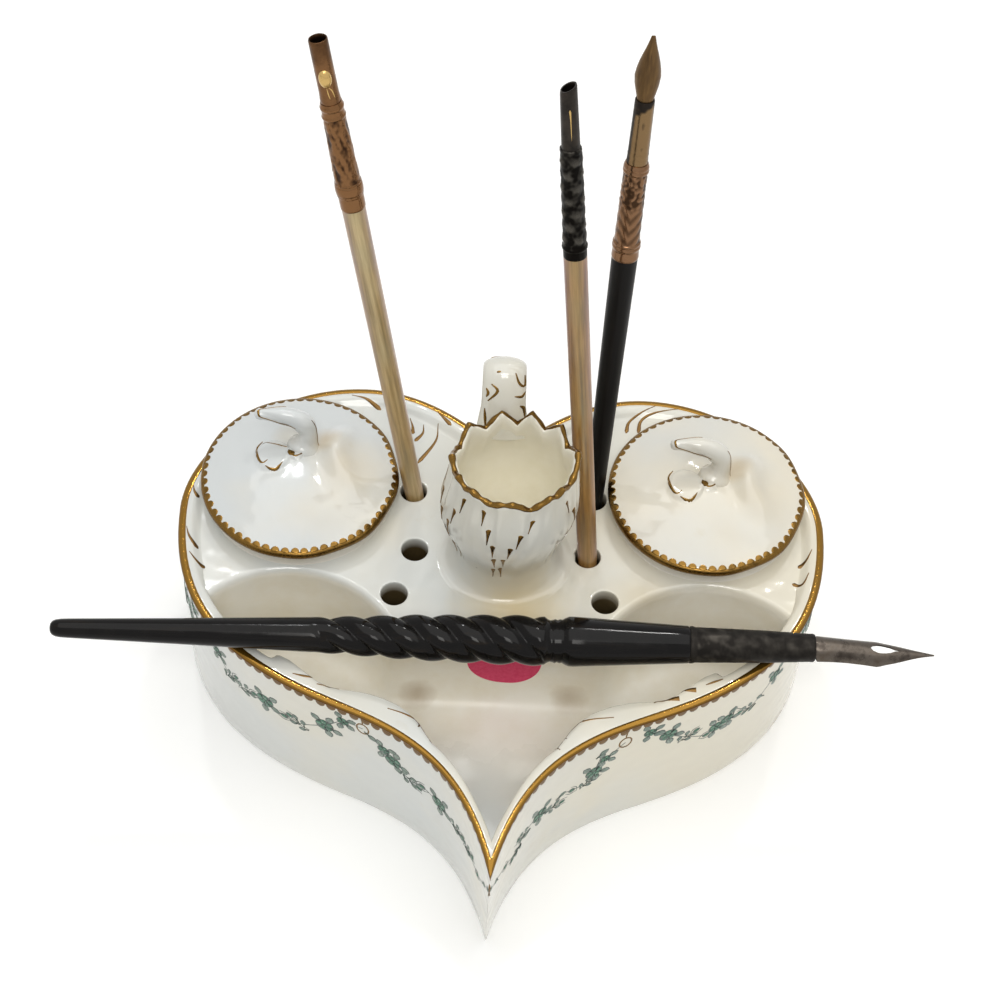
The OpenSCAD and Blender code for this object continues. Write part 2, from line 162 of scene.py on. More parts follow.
OUTER = outline(RIM_Z)
inset_half = [p - out * WALL_T for p, out in HALF]
inset_half = [p for p in inset_half if p.x > 0.4]
inner_tip = Vector((0, inset_half[-1].y - inset_half[-1].x / math.tan(TIP_HALF_ANGLE + math.radians(3))))
INNER = mirrored([along(inset_half + [inner_tip], i * len(inset_half) / len(HALF)) for i in range(len(HALF))],
                 inner_tip)


def raised(ring, z):
    return [Vector((p.x, p.y, z)) for p in ring]


def in_wall(share):
    """The outline at a share of the wall's thickness, from its outer side."""
    return [blend(a, b, share) for a, b in zip(OUTER, INNER)]


def inward(extra):
    """The inner outline set further in by extra, never over the centre line at the tip."""
    ring = []
    for i, p in enumerate(INNER):
        t = (INNER[(i + 1) % len(INNER)] - INNER[i - 1]).normalized()
        q = p + Vector((t.y, -t.x)) * extra
        if p.y < -60 and q.x * p.x <= 0.0004:
            q = Vector((math.copysign(0.02, p.x if p.x else 1), q.y))
        ring.append(q)
    return ring


def scroll(x, start, end, height):
    """A scroll moulded on the lip swells from x = start and ends in a round curl at x = end."""
    t = (start - abs(x)) / (start - end)
    if t <= 0 or t >= 1:
        return 0.0
    curl = math.sqrt(max(0.0, 1 - ((t - 0.84) / 0.16) ** 2)) if t > 0.84 else 1.0
    return height * smooth(t / 0.8) * curl


def lip(k):
    """Ring k of the lip's inner side: in the tray it drops to the floor, by the wells to the deck."""
    share, z, swell = LIP_IN_TRAY[k]
    back_share, back_z = LIP_AT_DECK[k]
    ring = []
    for a, b in zip(OUTER, INNER):
        grow = sum(scroll(a.x, *span) for span in SCROLLS) if a.y < -50 else 0
        # the lip is narrower round the tip
        thin = 1 - 0.25 * smooth((-a.y - 85) / 15)
        tray = a + (b - a) * (share * thin + swell * grow / WALL_T)
        back = smooth((a.y + 44) / 6)
        p = blend(tray, a + (b - a) * back_share, back)
        ring.append(Vector((p.x, p.y, blend(z, back_z, back))))
    return ring


def pull(bm, edges):
    """Extrudes edges where they stand, and returns the new vertices and edges."""
    made = bmesh.ops.extrude_edge_only(bm, edges=edges)["geom"]
    verts = [g for g in made if isinstance(g, bmesh.types.BMVert)]
    return verts, [g for g in made if isinstance(g, bmesh.types.BMEdge)]


def loft(bm, rings, cyclic=True):
    """Extrudes a ring of vertices from one set of points in mm to the next; returns its end edges."""
    place = bm.verts.layers.int.get("place") or bm.verts.layers.int.new("place")
    verts = [bm.verts.new(Vector(p) * MM) for p in rings[0]]
    for i, v in enumerate(verts):
        v[place] = i
    edges = first = [bm.edges.new(pair) for pair in zip(verts, verts[1:] + (verts[:1] if cyclic else []))]
    for ring in rings[1:]:
        verts, edges = pull(bm, edges)
        for v in verts:
            v.co = Vector(ring[v[place]]) * MM
    return first, edges


def closed(bm, rings):
    """Adds a loft closed by a face at each end, made apart as an operator slows in a full mesh."""
    part = bmesh.new()
    for edges in loft(part, rings):
        bmesh.ops.contextual_create(part, geom=edges)
    add(bm, part)


def add(bm, part):
    """Moves everything of part into bm."""
    mesh = bpy.data.meshes.new("part")
    part.to_mesh(mesh)
    part.free()
    bm.from_mesh(mesh)
    bpy.data.meshes.remove(mesh)


def finish(name, bm, material, body, replaced=(), sharp=40, own=None):
    """Makes the piece: faces outwards, smooth up to the sharp angle, riding on its body. If own maps
    the piece's own axes to the frame, an attribute keeps each vertex's place in those axes."""
    bmesh.ops.remove_doubles(bm, verts=bm.verts, dist=2e-7)
    bmesh.ops.recalc_face_normals(bm, faces=bm.faces)
    mesh = bpy.data.meshes.new(name)
    bm.to_mesh(mesh)
    bm.free()
    mesh.shade_smooth()
    mesh.set_sharp_from_angle(angle=math.radians(sharp))
    mesh.materials.append(material)
    if own:
        back = own.inverted()
        places = mesh.attributes.new("own", "FLOAT_VECTOR", "POINT")
        for v, item in zip(mesh.vertices, places.data):
            item.vector = back @ v.co
    piece = bpy.data.objects.new(name, mesh)
    bpy.context.scene.collection.objects.link(piece)
    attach(piece, body)
    if replaced:
        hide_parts(*replaced)
    return piece


def mark(piece, name, rule):
    """Gives each vertex of the piece a value from 0 to 1, which its material reads by the name."""
    values = piece.data.attributes.new(name, "FLOAT", "POINT")
    for v, item in zip(piece.data.vertices, values.data):
        item.value = rule(v)


def paint(hex_value):
    """sRGB hex to the linear colour that a shader takes."""
    parts = [int(hex_value[i:i + 2], 16) / 255 for i in (1, 3, 5)]
    return [c / 12.92 if c <= 0.04045 else ((c + 0.055) / 1.055) ** 2.4 for c in parts] + [1.0]


def grey(value):
    return (value, value, value, 1.0)


def node(tree, kind, settings=None, links=None):
    """Adds a node; settings are its properties or sockets, links map a socket to what feeds it."""
    made = tree.nodes.new(kind)
    for key, value in (settings or {}).items():
        if isinstance(key, str) and hasattr(made, key):
            setattr(made, key, value)
        else:
            made.inputs[key].default_value = value
    for key, source in (links or {}).items():
        tree.links.new(source, made.inputs[key])
    return made


def ramp(tree, factor, *stops):
    """Ramp of (position, value) stops; a value is an sRGB hex colour or a grey level."""
    made = node(tree, "ShaderNodeValToRGB", links={0: factor})
    points = made.color_ramp.elements
    while len(points) < len(stops):
        points.new(0.5)
    for point, (at, colour) in zip(points, stops):
        point.position = at
        point.color = paint(colour) if isinstance(colour, str) else grey(colour)
    return made.outputs[0]


def over(tree, factor, below, above):
    """Lays one colour over another; each is an sRGB hex colour or what feeds it."""
    made = node(tree, "ShaderNodeMix", {"data_type": "RGBA"}, {0: factor})
    for socket, colour in ((made.inputs[6], below), (made.inputs[7], above)):
        if isinstance(colour, str):
            socket.default_value = paint(colour)
        else:
            tree.links.new(colour, socket)
    return made.outputs[2]


def lumps(tree, coords, size, detail=2.0, roughness=0.5):
    """Noise with lumps of about size millimetres."""
    return node(tree, "ShaderNodeTexNoise", {"Scale": 1 / (size * MM), "Detail": detail, "Roughness": roughness},
                {"Vector": coords}).outputs[0]


def told(tree, name):
    """The value that mark() gave the vertices under this name."""
    return node(tree, "ShaderNodeAttribute", {"attribute_name": name}).outputs["Fac"]


def weighted(tree, value, weight, offset):
    """value times weight, plus offset."""
    return node(tree, "ShaderNodeMath", {"operation": "MULTIPLY_ADD", 1: weight}, {0: value, 2: offset}).outputs[0]


def lengthwise(tree, coords, share):
    """Coordinates that draw a pattern out along a pen's axis."""
    return node(tree, "ShaderNodeMapping", {"Scale": (1.0, 1.0, share)}, {"Vector": coords}).outputs[0]


def coloured(tree, shader, source, **sockets):
    """Feeds the base colour, and sets other sockets, named with _ for a space, to plain values."""
    tree.links.new(source, shader.inputs["Base Color"])
    for name, value in sockets.items():
        shader.inputs[name.replace("_", " ")].default_value = value


def bump(tree, shader, height, distance, strength=1.0):
    made = node(tree, "ShaderNodeBump", {"Strength": strength, "Distance": distance * MM}, {"Height": height})
    tree.links.new(made.outputs[0], shader.inputs["Normal"])


def material(name, attribute=None):
    """A new material's tree and shader, and its Object coordinates or the named attribute."""
    made = bpy.data.materials.new(name)
    made.use_nodes = True
    tree = made.node_tree
    if attribute:
        coords = node(tree, "ShaderNodeAttribute", {"attribute_name": attribute}).outputs["Vector"]
    else:
        coords = node(tree, "ShaderNodeTexCoord").outputs["Object"]
    return made, tree, tree.nodes["Principled BSDF"], coords


def porcelain(name, cool, warm, stain, stained_share, tea_and_light=None, marks=()):
    """Clear-glazed hard porcelain. It is painted bluer and darker on the left and creamier and lighter
    on the right, in patches of a hand's breadth, as painted light that falls cool from one side and
    warm from the other; tea-brown stains are about 15 mm across, kiln specks sit 20 mm apart, and
    the glaze lies in shallow waves of 7 mm, under a hard gloss. Given tray colours, what is marked
    for them is tinted tea-brown but painted lighter, as painted light in the hollows of the tray and
    the cup, and is duller; what is marked in the pen holes turns a darker brown towards their
    bottom. Each of marks is a tea stain or a painted shade: place, reach in mm, strength, colour."""
    made, tree, shader, coords = material(name)
    across = node(tree, "ShaderNodeSeparateXYZ", links={0: coords}).outputs[0]
    # painted light: bluer and darker to the left, creamier and lighter to the right
    side = weighted(tree, across, 3.2, lumps(tree, coords, 40, 3.0))
    white = ramp(tree, side, (0.3, cool), (0.7, warm))
    soil = lumps(tree, coords, 15, 6.0, 0.62)
    white = over(tree, ramp(tree, soil, (1 - stained_share, 0), (1.25 - stained_share, 0.6)), white, stain)
    if tea_and_light:
        # painted light: the tray and the inside of the cup are tinted tea-brown but painted lighter than the rest,
        # standing for light in those hollows
        tea_and_light_colour = ramp(tree, soil, (0.35, tea_and_light[0]), (0.62, tea_and_light[1]))
        tea_and_light_share = told(tree, "tea_and_light")
        white = over(tree, tea_and_light_share, white, tea_and_light_colour)
        # a darker brown towards the bottom of the pen holes
        white = over(tree, told(tree, "hole_darkening"), white, "#57492F")
    for place, reach, share, colour in marks:
        away = node(tree, "ShaderNodeVectorMath", {"operation": "DISTANCE", 1: Vector(place) * MM}, {0: coords})
        uneven = weighted(tree, soil, reach * 0.0009, away.outputs["Value"])
        spot = ramp(tree, uneven, (reach * 0.0005, share), (reach * 0.0016, 0))
        white = over(tree, spot, white, colour)
    specks = node(tree, "ShaderNodeTexVoronoi", {"Scale": 1 / (20 * MM)}, {"Vector": coords}).outputs[0]
    white = over(tree, ramp(tree, specks, (0.010, 0.9), (0.022, 0)), white, "#5E4C3A")
    coloured(tree, shader, white, IOR=1.54)
    rough = ramp(tree, lumps(tree, coords, 8, 4.0), (0.35, 0.04), (0.72, 0.13))
    if tea_and_light:
        rough = weighted(tree, tea_and_light_share, 0.3, rough)
    tree.links.new(rough, shader.inputs["Roughness"])
    bump(tree, shader, lumps(tree, coords, 7, 1.0), 0.35, 0.5)
    return made


# tea stains on the deck before the cup, round the cup, by the right scoop and at the riser's foot;
# in the tray's tip a painted bluish-grey shade
TEA_AND_SHADE_MARKS = [
    ((4, -35, DECK_Z), 14, 0.8, "#E2CC98"), ((0.8, -19, 46), 17, 0.4, "#D6CDB6"),
    ((37, -30, DECK_Z), 9, 0.5, "#CDBB92"), ((-20, RISER_Y, 14), 5, 0.7, "#9C8158"),
    ((19, RISER_Y, 14), 5, 0.6, "#9F8660"), ((-2, -76, TRAY_Z), 22, 0.8, "#D2D8DA"),
]
BODY_PORCELAIN = porcelain("glazed porcelain, tea stained, painted with light and shade", "#D8DAD6", "#E2DCCA", "#C6B894", 0.36,
                           ("#F0EADA", "#F7F4EA"), TEA_AND_SHADE_MARKS)


def wall_x(y):
    """Half width of the heart at y, measured inside the wall's thickness."""
    ring = in_wall(HIDDEN)[2 * ARC_STEPS:4 * ARC_STEPS + 1]
    beyond = 99
    return next((blend(p.x, q.x, (p.y - y) / (p.y - q.y))
                 for p, q in zip(ring, ring[1:]) if q.y <= y < p.y), beyond)


def front_path(off):
    """The deck's front edge from the left wall to the right, off behind it or -off before it: the
    straight riser, a rounded corner on each side, and the scoop up to where the wall hides it."""
    reach = SCOOP_R + CORNER_R
    scoop = Vector((SCOOP_X, SCOOP_Y))
    cy = RISER_Y + CORNER_R
    cx = SCOOP_X - math.sqrt(reach ** 2 - (cy - SCOOP_Y) ** 2)
    meet = math.atan2(cy - SCOOP_Y, cx - SCOOP_X)
    right = [Vector((cx * i / 5, RISER_Y + off)) for i in range(5)]
    for i in range(10):
        right.append(Vector((cx, cy)) + polar(1, blend(-math.pi / 2, meet - math.pi, i / 9)).xy * (CORNER_R - off))
    last = meet
    while last > 0:
        p = scoop + polar(1, last).xy * (SCOOP_R + off)
        if p.x > wall_x(p.y):
            break
        last -= 0.01
    for i in range(1, 37):
        right.append(scoop + polar(1, blend(meet, last, i / 36)).xy * (SCOOP_R + off))
    return [Vector((-p.x, p.y)) for p in reversed(right[1:])] + right


def close_in_wall(bm, edges, z, step):
    """Joins the two ends of a chain of edges by edges hidden in the wall's thickness."""
    tips = [v for e in edges for v in e.verts if sum(f in edges for f in v.link_edges) == 1]
    left, right = sorted(tips, key=lambda v: v.co.x)
    ring = in_wall(HIDDEN)
    i, stop = (min(range(len(ring)), key=lambda k: (ring[k] * MM - v.co.xy).length) for v in (left, right))
    at, loop = left, list(edges)
    while (i + step - stop) % len(ring):
        i = (i + step) % len(ring)
        v = bm.verts.new(Vector((ring[i].x, ring[i].y, z)) * MM)
        loop.append(bm.edges.new((at, v)))
        at = v
    return loop + [bm.edges.new((at, right))]


body = bmesh.new()
# round the wall's section: the foot's rounded edge, up the outside, over the lip, down the inside
rings = [raised(outline(0, 0.9), 0), raised(outline(0.35, 0.3), 0.35), raised(outline(1.3), 1.3)]
rings += [raised(outline(z), z) for z in (5, 12, 20, 28, 36, 41, 44, 45.6)]
rings += [raised(in_wall(share), z)
          for share, z in ((0.03, 46.35), (0.09, 46.72), (0.18, 46.92), (0.3, 47.0), (0.45, 46.98))]
rings += [lip(k) for k in range(len(LIP_IN_TRAY))]
rings += [raised(inward(e), z) for e, z in POOL]
rings += [raised(in_wall(0.9), z) for z in (8, 0.6)] + [rings[0]]
loft(body, rings)

# the deck's front edge and the riser, then the openings, then the deck and the tray's floor
cast = bmesh.new()
first, last = loft(cast, [raised(front_path(off), z) for off, z in NOSE], cyclic=False)
deck_edges = close_in_wall(cast, first, DECK_Z, 1)
sockets = [(x, y, PEN_HOLE_R, 36, HOLE_FLOOR_Z) for x, y in PEN_HOLES]
sockets += [(side * WELL_X, 0, WELL_HOLE_R, 96, WELL_FOOT_Z) for side in (-1, 1)]
for x, y, radius, steps, floor_z in sockets:
    circle = bmesh.ops.create_circle(cast, segments=steps, radius=(radius + 0.6) * MM,
                                     matrix=Matrix.Translation(Vector((x, y, DECK_Z)) * MM))
    edges = list({e for v in circle["verts"] for e in v.link_edges})
    deck_edges += edges
    for r, z in OPENING_ROUND + [(0, floor_z)]:
        verts, edges = pull(cast, edges)
        for v in verts:
            flat = (v.co.xy - Vector((x, y)) * MM).normalized() * (radius + r)
            v.co = Vector((x + flat.x, y + flat.y, z)) * MM
    bmesh.ops.contextual_create(cast, geom=edges)
bmesh.ops.triangle_fill(cast, use_beauty=True, edges=deck_edges)
bmesh.ops.triangle_fill(cast, use_beauty=True, edges=close_in_wall(cast, last, TRAY_Z, -1))
# the cast is closed inside the wall by a skirt down to the flat base
skirt, _ = pull(cast, [e for e in cast.edges if len(e.link_faces) == 1])
for v in skirt:
    v.co.z = BASE_Z * MM
bmesh.ops.remove_doubles(cast, verts=skirt, dist=1e-6)
bmesh.ops.triangle_fill(cast, use_beauty=True, edges=[e for e in cast.edges if len(e.link_faces) == 1])
add(body, cast)
stand = finish("porcelain_body", body, BODY_PORCELAIN, "stand",
               ("heart_wall", "deck", "left_front_wing", "left_back_wing", "right_front_wing", "right_back_wing",
                "riser", "tray_floor", "underside_panel"), sharp=55)
rim = KDTree(len(OUTER))
for i, p in enumerate(OUTER):
    rim.insert(Vector((p.x, p.y, 0)), i)
rim.balance()


# the tray is painted tea-tinted and lighter, as painted light in that hollow
def tanned_and_lit(v):
    """1 in the tray, 0 on the wall, the lip and the deck; it fades out over a millimetre or two."""
    x, y, z = v.co / MM
    if y > -24 or z > DECK_Z - 0.3:
        return 0.0
    return smooth((rim.find(Vector((x, y, 0)))[2] - 2.9) / 0.8) * smooth((DECK_Z - 0.2 - z) / 2)


def darker_down_holes(v):
    """1 down in the pen holes, more the deeper it goes; there the colour turns a darker brown."""
    x, y, z = v.co / MM
    away = min((Vector((x, y)) - Vector(hole)).length for hole in PEN_HOLES)
    return smooth((DECK_Z - 0.5 - z) / 3) if away < PEN_HOLE_R + 0.2 else 0.0


mark(stand, "tea_and_light", tanned_and_lit)
mark(stand, "hole_darkening", darker_down_holes)
SURFACE = BVHTree.FromPolygons([v.co for v in stand.data.vertices], [p.vertices for p in stand.data.polygons])

# ---------------------------------------------------------------------------------------------
# Gilding of the body. Fired gold on the outer edge of the rim, laid as a bead 0.8 mm high over a
# row of scallops dabbed on with a round brush, and comma strokes on the deck and along the two
# scrolls, a tenth of a millimetre proud. All of it is burnished.

SCALLOP_PITCH = 3.05
# the gold bead on the rim: share of the wall's thickness and height of its middle, half sizes
BEAD_AT = (0.17, 46.35)
BEAD_WIDE, BEAD_TALL = 1.15, 0.8
# a stroke is laid from overhead; in front of the deck it stays on the lip, above its edge
OVERHEAD_Z, DECK_FRONT_Y, LIP_EDGE_Z = 60, -45, 43.5
DECK_STROKES = [
    [(-41.4, 30.6), (-37.6, 29.8), (-33.4, 27.3)], [(-19.8, 28), (-17.2, 25), (-14.4, 21.8)],
    [(-25.5, 24.9), (-24.7, 22.2), (-24.5, 19.6)], [(-21.8, 22.9), (-21.9, 20), (-23.9, 17.2)],
    [(-17.9, 22.8), (-18.4, 17.4), (-22.8, 9.8)], [(-80.3, -1.6), (-79.8, -3.5), (-78.6, -5.1)],
    [(-80.6, -14.8), (-79.5, -17.8), (-77.1, -20.8)], [(-79, -22.5), (-77.2, -24.6), (-74.8, -26.3)],
    [(40.7, 31.6), (33.7, 27.4), (32.3, 22.9)], [(48.3, 31), (37.4, 28.3), (35.5, 23.1)],
    [(79.7, -13.8), (78.2, -16.7), (76.1, -18.7)], [(78.5, -21.1), (76.8, -24.2), (74.3, -23.7)],
]
# lines along the two scrolls of the lip, and short wedges where they start
LIP_LINES = [
    [(-49.9, -57.4), (-46.8, -58.0), (-43.7, -58.2)], [(-18.7, -69.1), (-18.2, -70.0), (-18.6, -70.9)],
    [(-26.2, -66.1), (-22.4, -67.2), (-18.7, -68.9), (-15.8, -71.4), (-15.0, -73.8), (-15.6, -74.6)],
    [(28.6, -66.1), (22.1, -67.0), (17.5, -68.8), (14.8, -71.9), (13.8, -74.0), (15.7, -75.7)],
    [(17.5, -69.6), (16.1, -71.3), (17.3, -72.5)], [(51.2, -55.8), (53.4, -54.8), (55.5, -53.9)],
]
LIP_WEDGES = [
    [(-43.8, -60.1), (-40.1, -60.4), (-37.8, -59.3)], [(38.4, -61.3), (39.9, -60.5), (44.6, -60.0)],
    [(44.1, -58.0), (45.6, -57.5), (48.8, -57.4)],
]


def gold(name, bright, worn, wear_share, rough):
    """Metal that is rubbed to a darker brown in patches of about 5 mm; it is finely scratched."""
    made, tree, shader, coords = material(name)
    rubbed = ramp(tree, lumps(tree, coords, 5, 5.0, 0.65), (1 - wear_share, 0), (1.2 - wear_share, 1))
    coloured(tree, shader, over(tree, rubbed, bright, worn), Metallic=1.0)
    tree.links.new(ramp(tree, lumps(tree, coords, 1.6, 4.0), (0.3, rough), (0.75, rough + 0.22)),
                   shader.inputs["Roughness"])
    bump(tree, shader, lumps(tree, coords, 0.5, 3.0), 0.03, 0.6)
    return made


GILDING = gold("burnished gilding", "#725629", "#4A371B", 0.45, 0.16)
THIN_GILDING = gold("gilding laid thin over the glaze", "#6C5230", "#4F3A22", 0.4, 0.3)


def aged(name, high, low, rough, metallic=1.0):
    """Chased metal: "worn" is 1 on the rubbed high spots and 0 in the dark recesses, and tarnish
    clouds it in spots of about 2 mm, which also dull the shine."""
    made, tree, shader, coords = material(name)
    mixed = weighted(tree, lumps(tree, coords, 2.2, 5.0, 0.65), 0.55, told(tree, "worn"))
    coloured(tree, shader, ramp(tree, mixed, (0.45, low), (1.15, high)), Metallic=metallic)
    tree.links.new(ramp(tree, mixed, (0.5, rough + 0.25), (1.1, rough)), shader.inputs["Roughness"])
    bump(tree, shader, lumps(tree, coords, 0.6, 3.0), 0.04, 0.5)
    return made


# less than fully metallic, as the brown ground shows through where the bead turns from the light;
# its colour is painted light and shade, bright along the crest and dark brown on the flanks
CREST_LIT_GILDING = aged("burnished gilding, brown at its edges", "#836020", "#5C3E16", 0.1, 0.75)


def smooth_path(points, steps):
    """Catmull-Rom curve through the points, with steps between one and the next."""
    points = [Vector(p) for p in points]
    full = [points[0] * 2 - points[1]] + points + [points[-1] * 2 - points[-2]]
    path = []
    for a, b, c, d in zip(full, full[1:], full[2:], full[3:]):
        for i in range(steps):
            t = i / steps
            path.append((b * 2 + (c - a) * t + (a * 2 - b * 5 + c * 4 - d) * t * t
                         + (b * 3 - a - c * 3 + d) * t ** 3) * 0.5)
    return path + [points[-1]]


def comma(t):
    """Width of a comma stroke: it starts as a hair and ends in a round head."""
    return (0.16 + 0.84 * t ** 1.4) * math.sqrt(max(0.05, 1 - ((t - 0.88) / 0.12) ** 2 if t > 0.88 else 1))


def hair(t):
    """Width of a line drawn with a fine brush, thin at both ends."""
    return 0.35 + 0.65 * math.sin(math.pi * t)


def wedge(t):
    """Width of a dab that starts as a point and ends broad and blunt."""
    return 0.15 + 0.85 * t ** 1.3


def even(t):
    """Width of a line of one thickness."""
    return 1.0


def tail(t):
    """Width of a dash with a round head that thins out to its tail."""
    return comma(1 - t)


def stroke(bm, put, points, width, shape=comma, proud=0.12, steps=6):
    """A brushed line of gold or enamel; put maps (u, v, height over the surface) to the frame."""
    path = smooth_path(points, steps)
    rings = []
    for i, p in enumerate(path):
        run = (path[min(i + 1, len(path) - 1)] - path[max(i - 1, 0)]).normalized()
        w = width / 2 * shape(i / (len(path) - 1))
        rings.append([put(p.x - run.y * w * math.cos(a), p.y + run.x * w * math.cos(a),
                          proud * (math.sin(a) if a < math.pi else 0.7 * math.sin(a)))
                      for a in (j * math.pi / 4 for j in range(8))])
    closed(bm, rings)


def scallop(wide, base, tall):
    """Outline of a dab with a round belly below and a flat top, which tucks under the edge."""
    return [(wide * math.cos(a), base + tall * min(0.0, math.sin(a)) + 0.3 * max(0.0, math.sin(a)))
            for a in (k * math.pi / 6 for k in range(12))]


def pad(bm, put, centre, turn, shape, proud):
    """A dab of gold or enamel: the outline shape, turned by an angle, swells up to proud."""
    c, s = math.cos(turn), math.sin(turn)
    rings = []
    for scale, d in ((1, -0.1), (1, 0.3 * proud), (0.8, 0.85 * proud), (0.35, proud)):
        rings.append([put(centre[0] + (u * c - v * s) * scale, centre[1] + (u * s + v * c) * scale, d)
                      for u, v in shape])
    closed(bm, rings)


FLANK = [(Vector(HEART_ARCS[3][3]), HALF[-1][1])] + HALF[::-1]
LENGTHS = [0.0]
for (p, _), (q, _) in zip(FLANK, FLANK[1:]):
    LENGTHS.append(LENGTHS[-1] + (q - p).length)


def on_wall(s, z, d):
    """Point on the outer wall, s along the rim from the tip (right side +) and d proud of it."""
    far = min(abs(s), LENGTHS[-1] - 0.01)
    i = next(k for k in range(len(LENGTHS) - 1) if LENGTHS[k + 1] >= far)
    t = (far - LENGTHS[i]) / (LENGTHS[i + 1] - LENGTHS[i])
    p, out = blend(FLANK[i][0], FLANK[i + 1][0], t), blend(FLANK[i][1], FLANK[i + 1][1], t)
    q = p - out * (belly(p.y) * (1 - z / RIM_Z) - d)
    return Vector((q.x if s >= 0 else -q.x, q.y, z))


def on_lip(x, y, d):
    """Point above (x, y) on the lip or the deck as it was modelled, d proud of it. A brush that runs
    past the lip's free edge over the tray slides back along it."""
    while True:
        hit, normal, _, _ = SURFACE.ray_cast(Vector((x, y, OVERHEAD_Z)) * MM, Vector((0, 0, -1)))
        if y > DECK_FRONT_Y or hit.z > LIP_EDGE_Z * MM:
            return hit / MM + normal * d
        x, y = x + math.copysign(0.1, x), y - 0.1


def oval(wide, tall, steps=12):
    """Outline of an oval with these half sizes."""
    return [(wide * math.cos(a), tall * math.sin(a)) for a in turns(steps)]


def looped(points):
    """The points and the first one again, which closes the loop."""
    return points + points[:1]


bead = bmesh.new()
loft(bead, [raised(in_wall(BEAD_AT[0] + u / WALL_T), BEAD_AT[1] + v)
            for u, v in looped(oval(BEAD_WIDE, BEAD_TALL, 16))])
rim_gold = finish("rim_gilding", bead, CREST_LIT_GILDING, "stand", sharp=60)
# only the crest is painted bright, a painted highlight; the flanks stay dark brown as painted shade
mark(rim_gold, "worn", lambda v: smooth((v.co.z / MM - 46.5) / (0.7 * BEAD_TALL)))
gilt = bmesh.new()
random.seed(4)
for k in range(int(LENGTHS[-1] / SCALLOP_PITCH)):
    for side in (-1, 1):
        place = side * (k + 0.5) * SCALLOP_PITCH + random.uniform(-0.12, 0.12)
        pad(gilt, on_wall, (place, 44.9 + random.uniform(-0.1, 0.1)), random.uniform(-0.07, 0.07),
            scallop(1.3, 0.35, 1.75), 0.12)
for points in DECK_STROKES:
    stroke(gilt, on_lip, points, 1.3)
for points in LIP_LINES:
    stroke(gilt, on_lip, points, 0.62, hair)
for points in LIP_WEDGES:
    stroke(gilt, on_lip, points, 1.5, wedge)
finish("body_gilding", gilt, THIN_GILDING, "stand", sharp=60)

# ---------------------------------------------------------------------------------------------
# Painted garland. A swag of small flowers runs round the outside of the wall in over-glaze green
# and grey enamel, tied up under the rim with loops of gold. The enamel was brushed on and fired.

# each swag hangs from a ring; kind, distance along the rim from the tip, height, size, turn
FRONT_SWAG = {
    -1: [("ring", -54.1, 40.6, 2.2, 0), ("leaf", -51.5, 38, 2.2, -0.7), ("rose", -48.4, 35, 2.0, 0),
         ("rose", -45.7, 31.8, 2.7, 0.6), ("sprig", -41.1, 27.7, 2.6, -0.3), ("bud", -36.8, 29, 2.0, 0.5),
         ("rose", -30.8, 28.4, 2.9, 0.3), ("sprig", -23.5, 26.9, 2.5, 0.2), ("sprig", -17.5, 26.3, 2.3, 0.4),
         ("bud", -11.3, 24.8, 1.6, 0.7), ("leaf", -6.2, 29.5, 2.0, 0.9), ("leaf", -2.6, 34, 1.9, 1.1)],
    1: [("ring", 53.9, 39.4, 2.2, 0), ("leaf", 48.2, 38.7, 2.2, 0.6), ("rose", 48.8, 34.8, 1.7, 0),
        ("rose", 46, 30.2, 2.7, 0.4), ("sprig", 44.5, 26.1, 2.2, 0.5), ("bud", 39.9, 26.5, 1.8, 2.4),
        ("leaf", 36.9, 27.9, 1.8, 0.3), ("sprig", 34.1, 24.2, 2.4, -0.2), ("rose", 29.2, 26.9, 2.9, 0.2),
        ("sprig", 23.2, 25.9, 2.4, 2.7), ("sprig", 20.2, 21.7, 2.0, 3.6), ("bud", 13.8, 24.8, 1.8, 2.2),
        ("leaf", 7.5, 29, 2.0, 2.2), ("leaf", 3.0, 33.5, 1.9, 2.0), ("ring", 0, 37, 2.0, 0)],
}
SIDE_SWAG = {
    -1: [("rose", -59.6, 40.1, 1.9, 0), ("rose", -64.8, 34.3, 2.9, 0.5), ("sprig", -72.2, 29.2, 2.6, 2.6),
         ("bud", -76.8, 29.0, 1.9, 3.0), ("rose", -82.6, 31.2, 3.0, 0.2), ("sprig", -89.1, 29.6, 2.5, 0.4),
         ("sprig", -94.6, 30.2, 2.3, 0.7), ("rose", -99.4, 36.4, 2.3, 0), ("leaf", -102.6, 39.4, 2.1, 0.9)],
    1: [("rose", 60.5, 40.1, 2.0, 0), ("rose", 65.8, 35.8, 2.8, 0.4), ("sprig", 71.4, 31.1, 2.4, 0.5),
        ("bud", 77.5, 27.5, 1.8, 0.2), ("rose", 80.2, 29.3, 2.5, 0), ("rose", 83.4, 30.6, 2.3, 0.5),
        ("leaf", 85.3, 33.8, 2.0, 1.5), ("sprig", 90.4, 29.4, 2.3, 2.9), ("leaf", 94.1, 31.1, 1.9, 2.5),
        ("rose", 99, 36, 2.4, 0.3), ("leaf", 102.5, 39.2, 2.1, 2.3)],
}
SWAG_WIDTH = 52
SWAGS_A_SIDE = 3
# where along the rim the first side swag's ring is, and the height of those after it
FIRST_RING, RING_Z = 54, 39.6


def enamel(name, size, uneven, thick, thin, rough):
    """Fired enamel, darker where it lies thicker, in spots of about size millimetres."""
    made, tree, shader, coords = material(name)
    layer = lumps(tree, coords, size, 3.0, uneven)
    coloured(tree, shader, ramp(tree, layer, (0.35, thick), (0.65, thin)), Roughness=rough)
    return made


FLOWER_GREEN = enamel("over-glaze enamel, green", 1.4, 0.6, "#365E4A", "#55836B", 0.25)
# so thin that the white greys it in places
LEAF_WASH = enamel("over-glaze enamel, thin grey-green wash", 2, 0.5, "#687C71", "#8E9C90", 0.25)
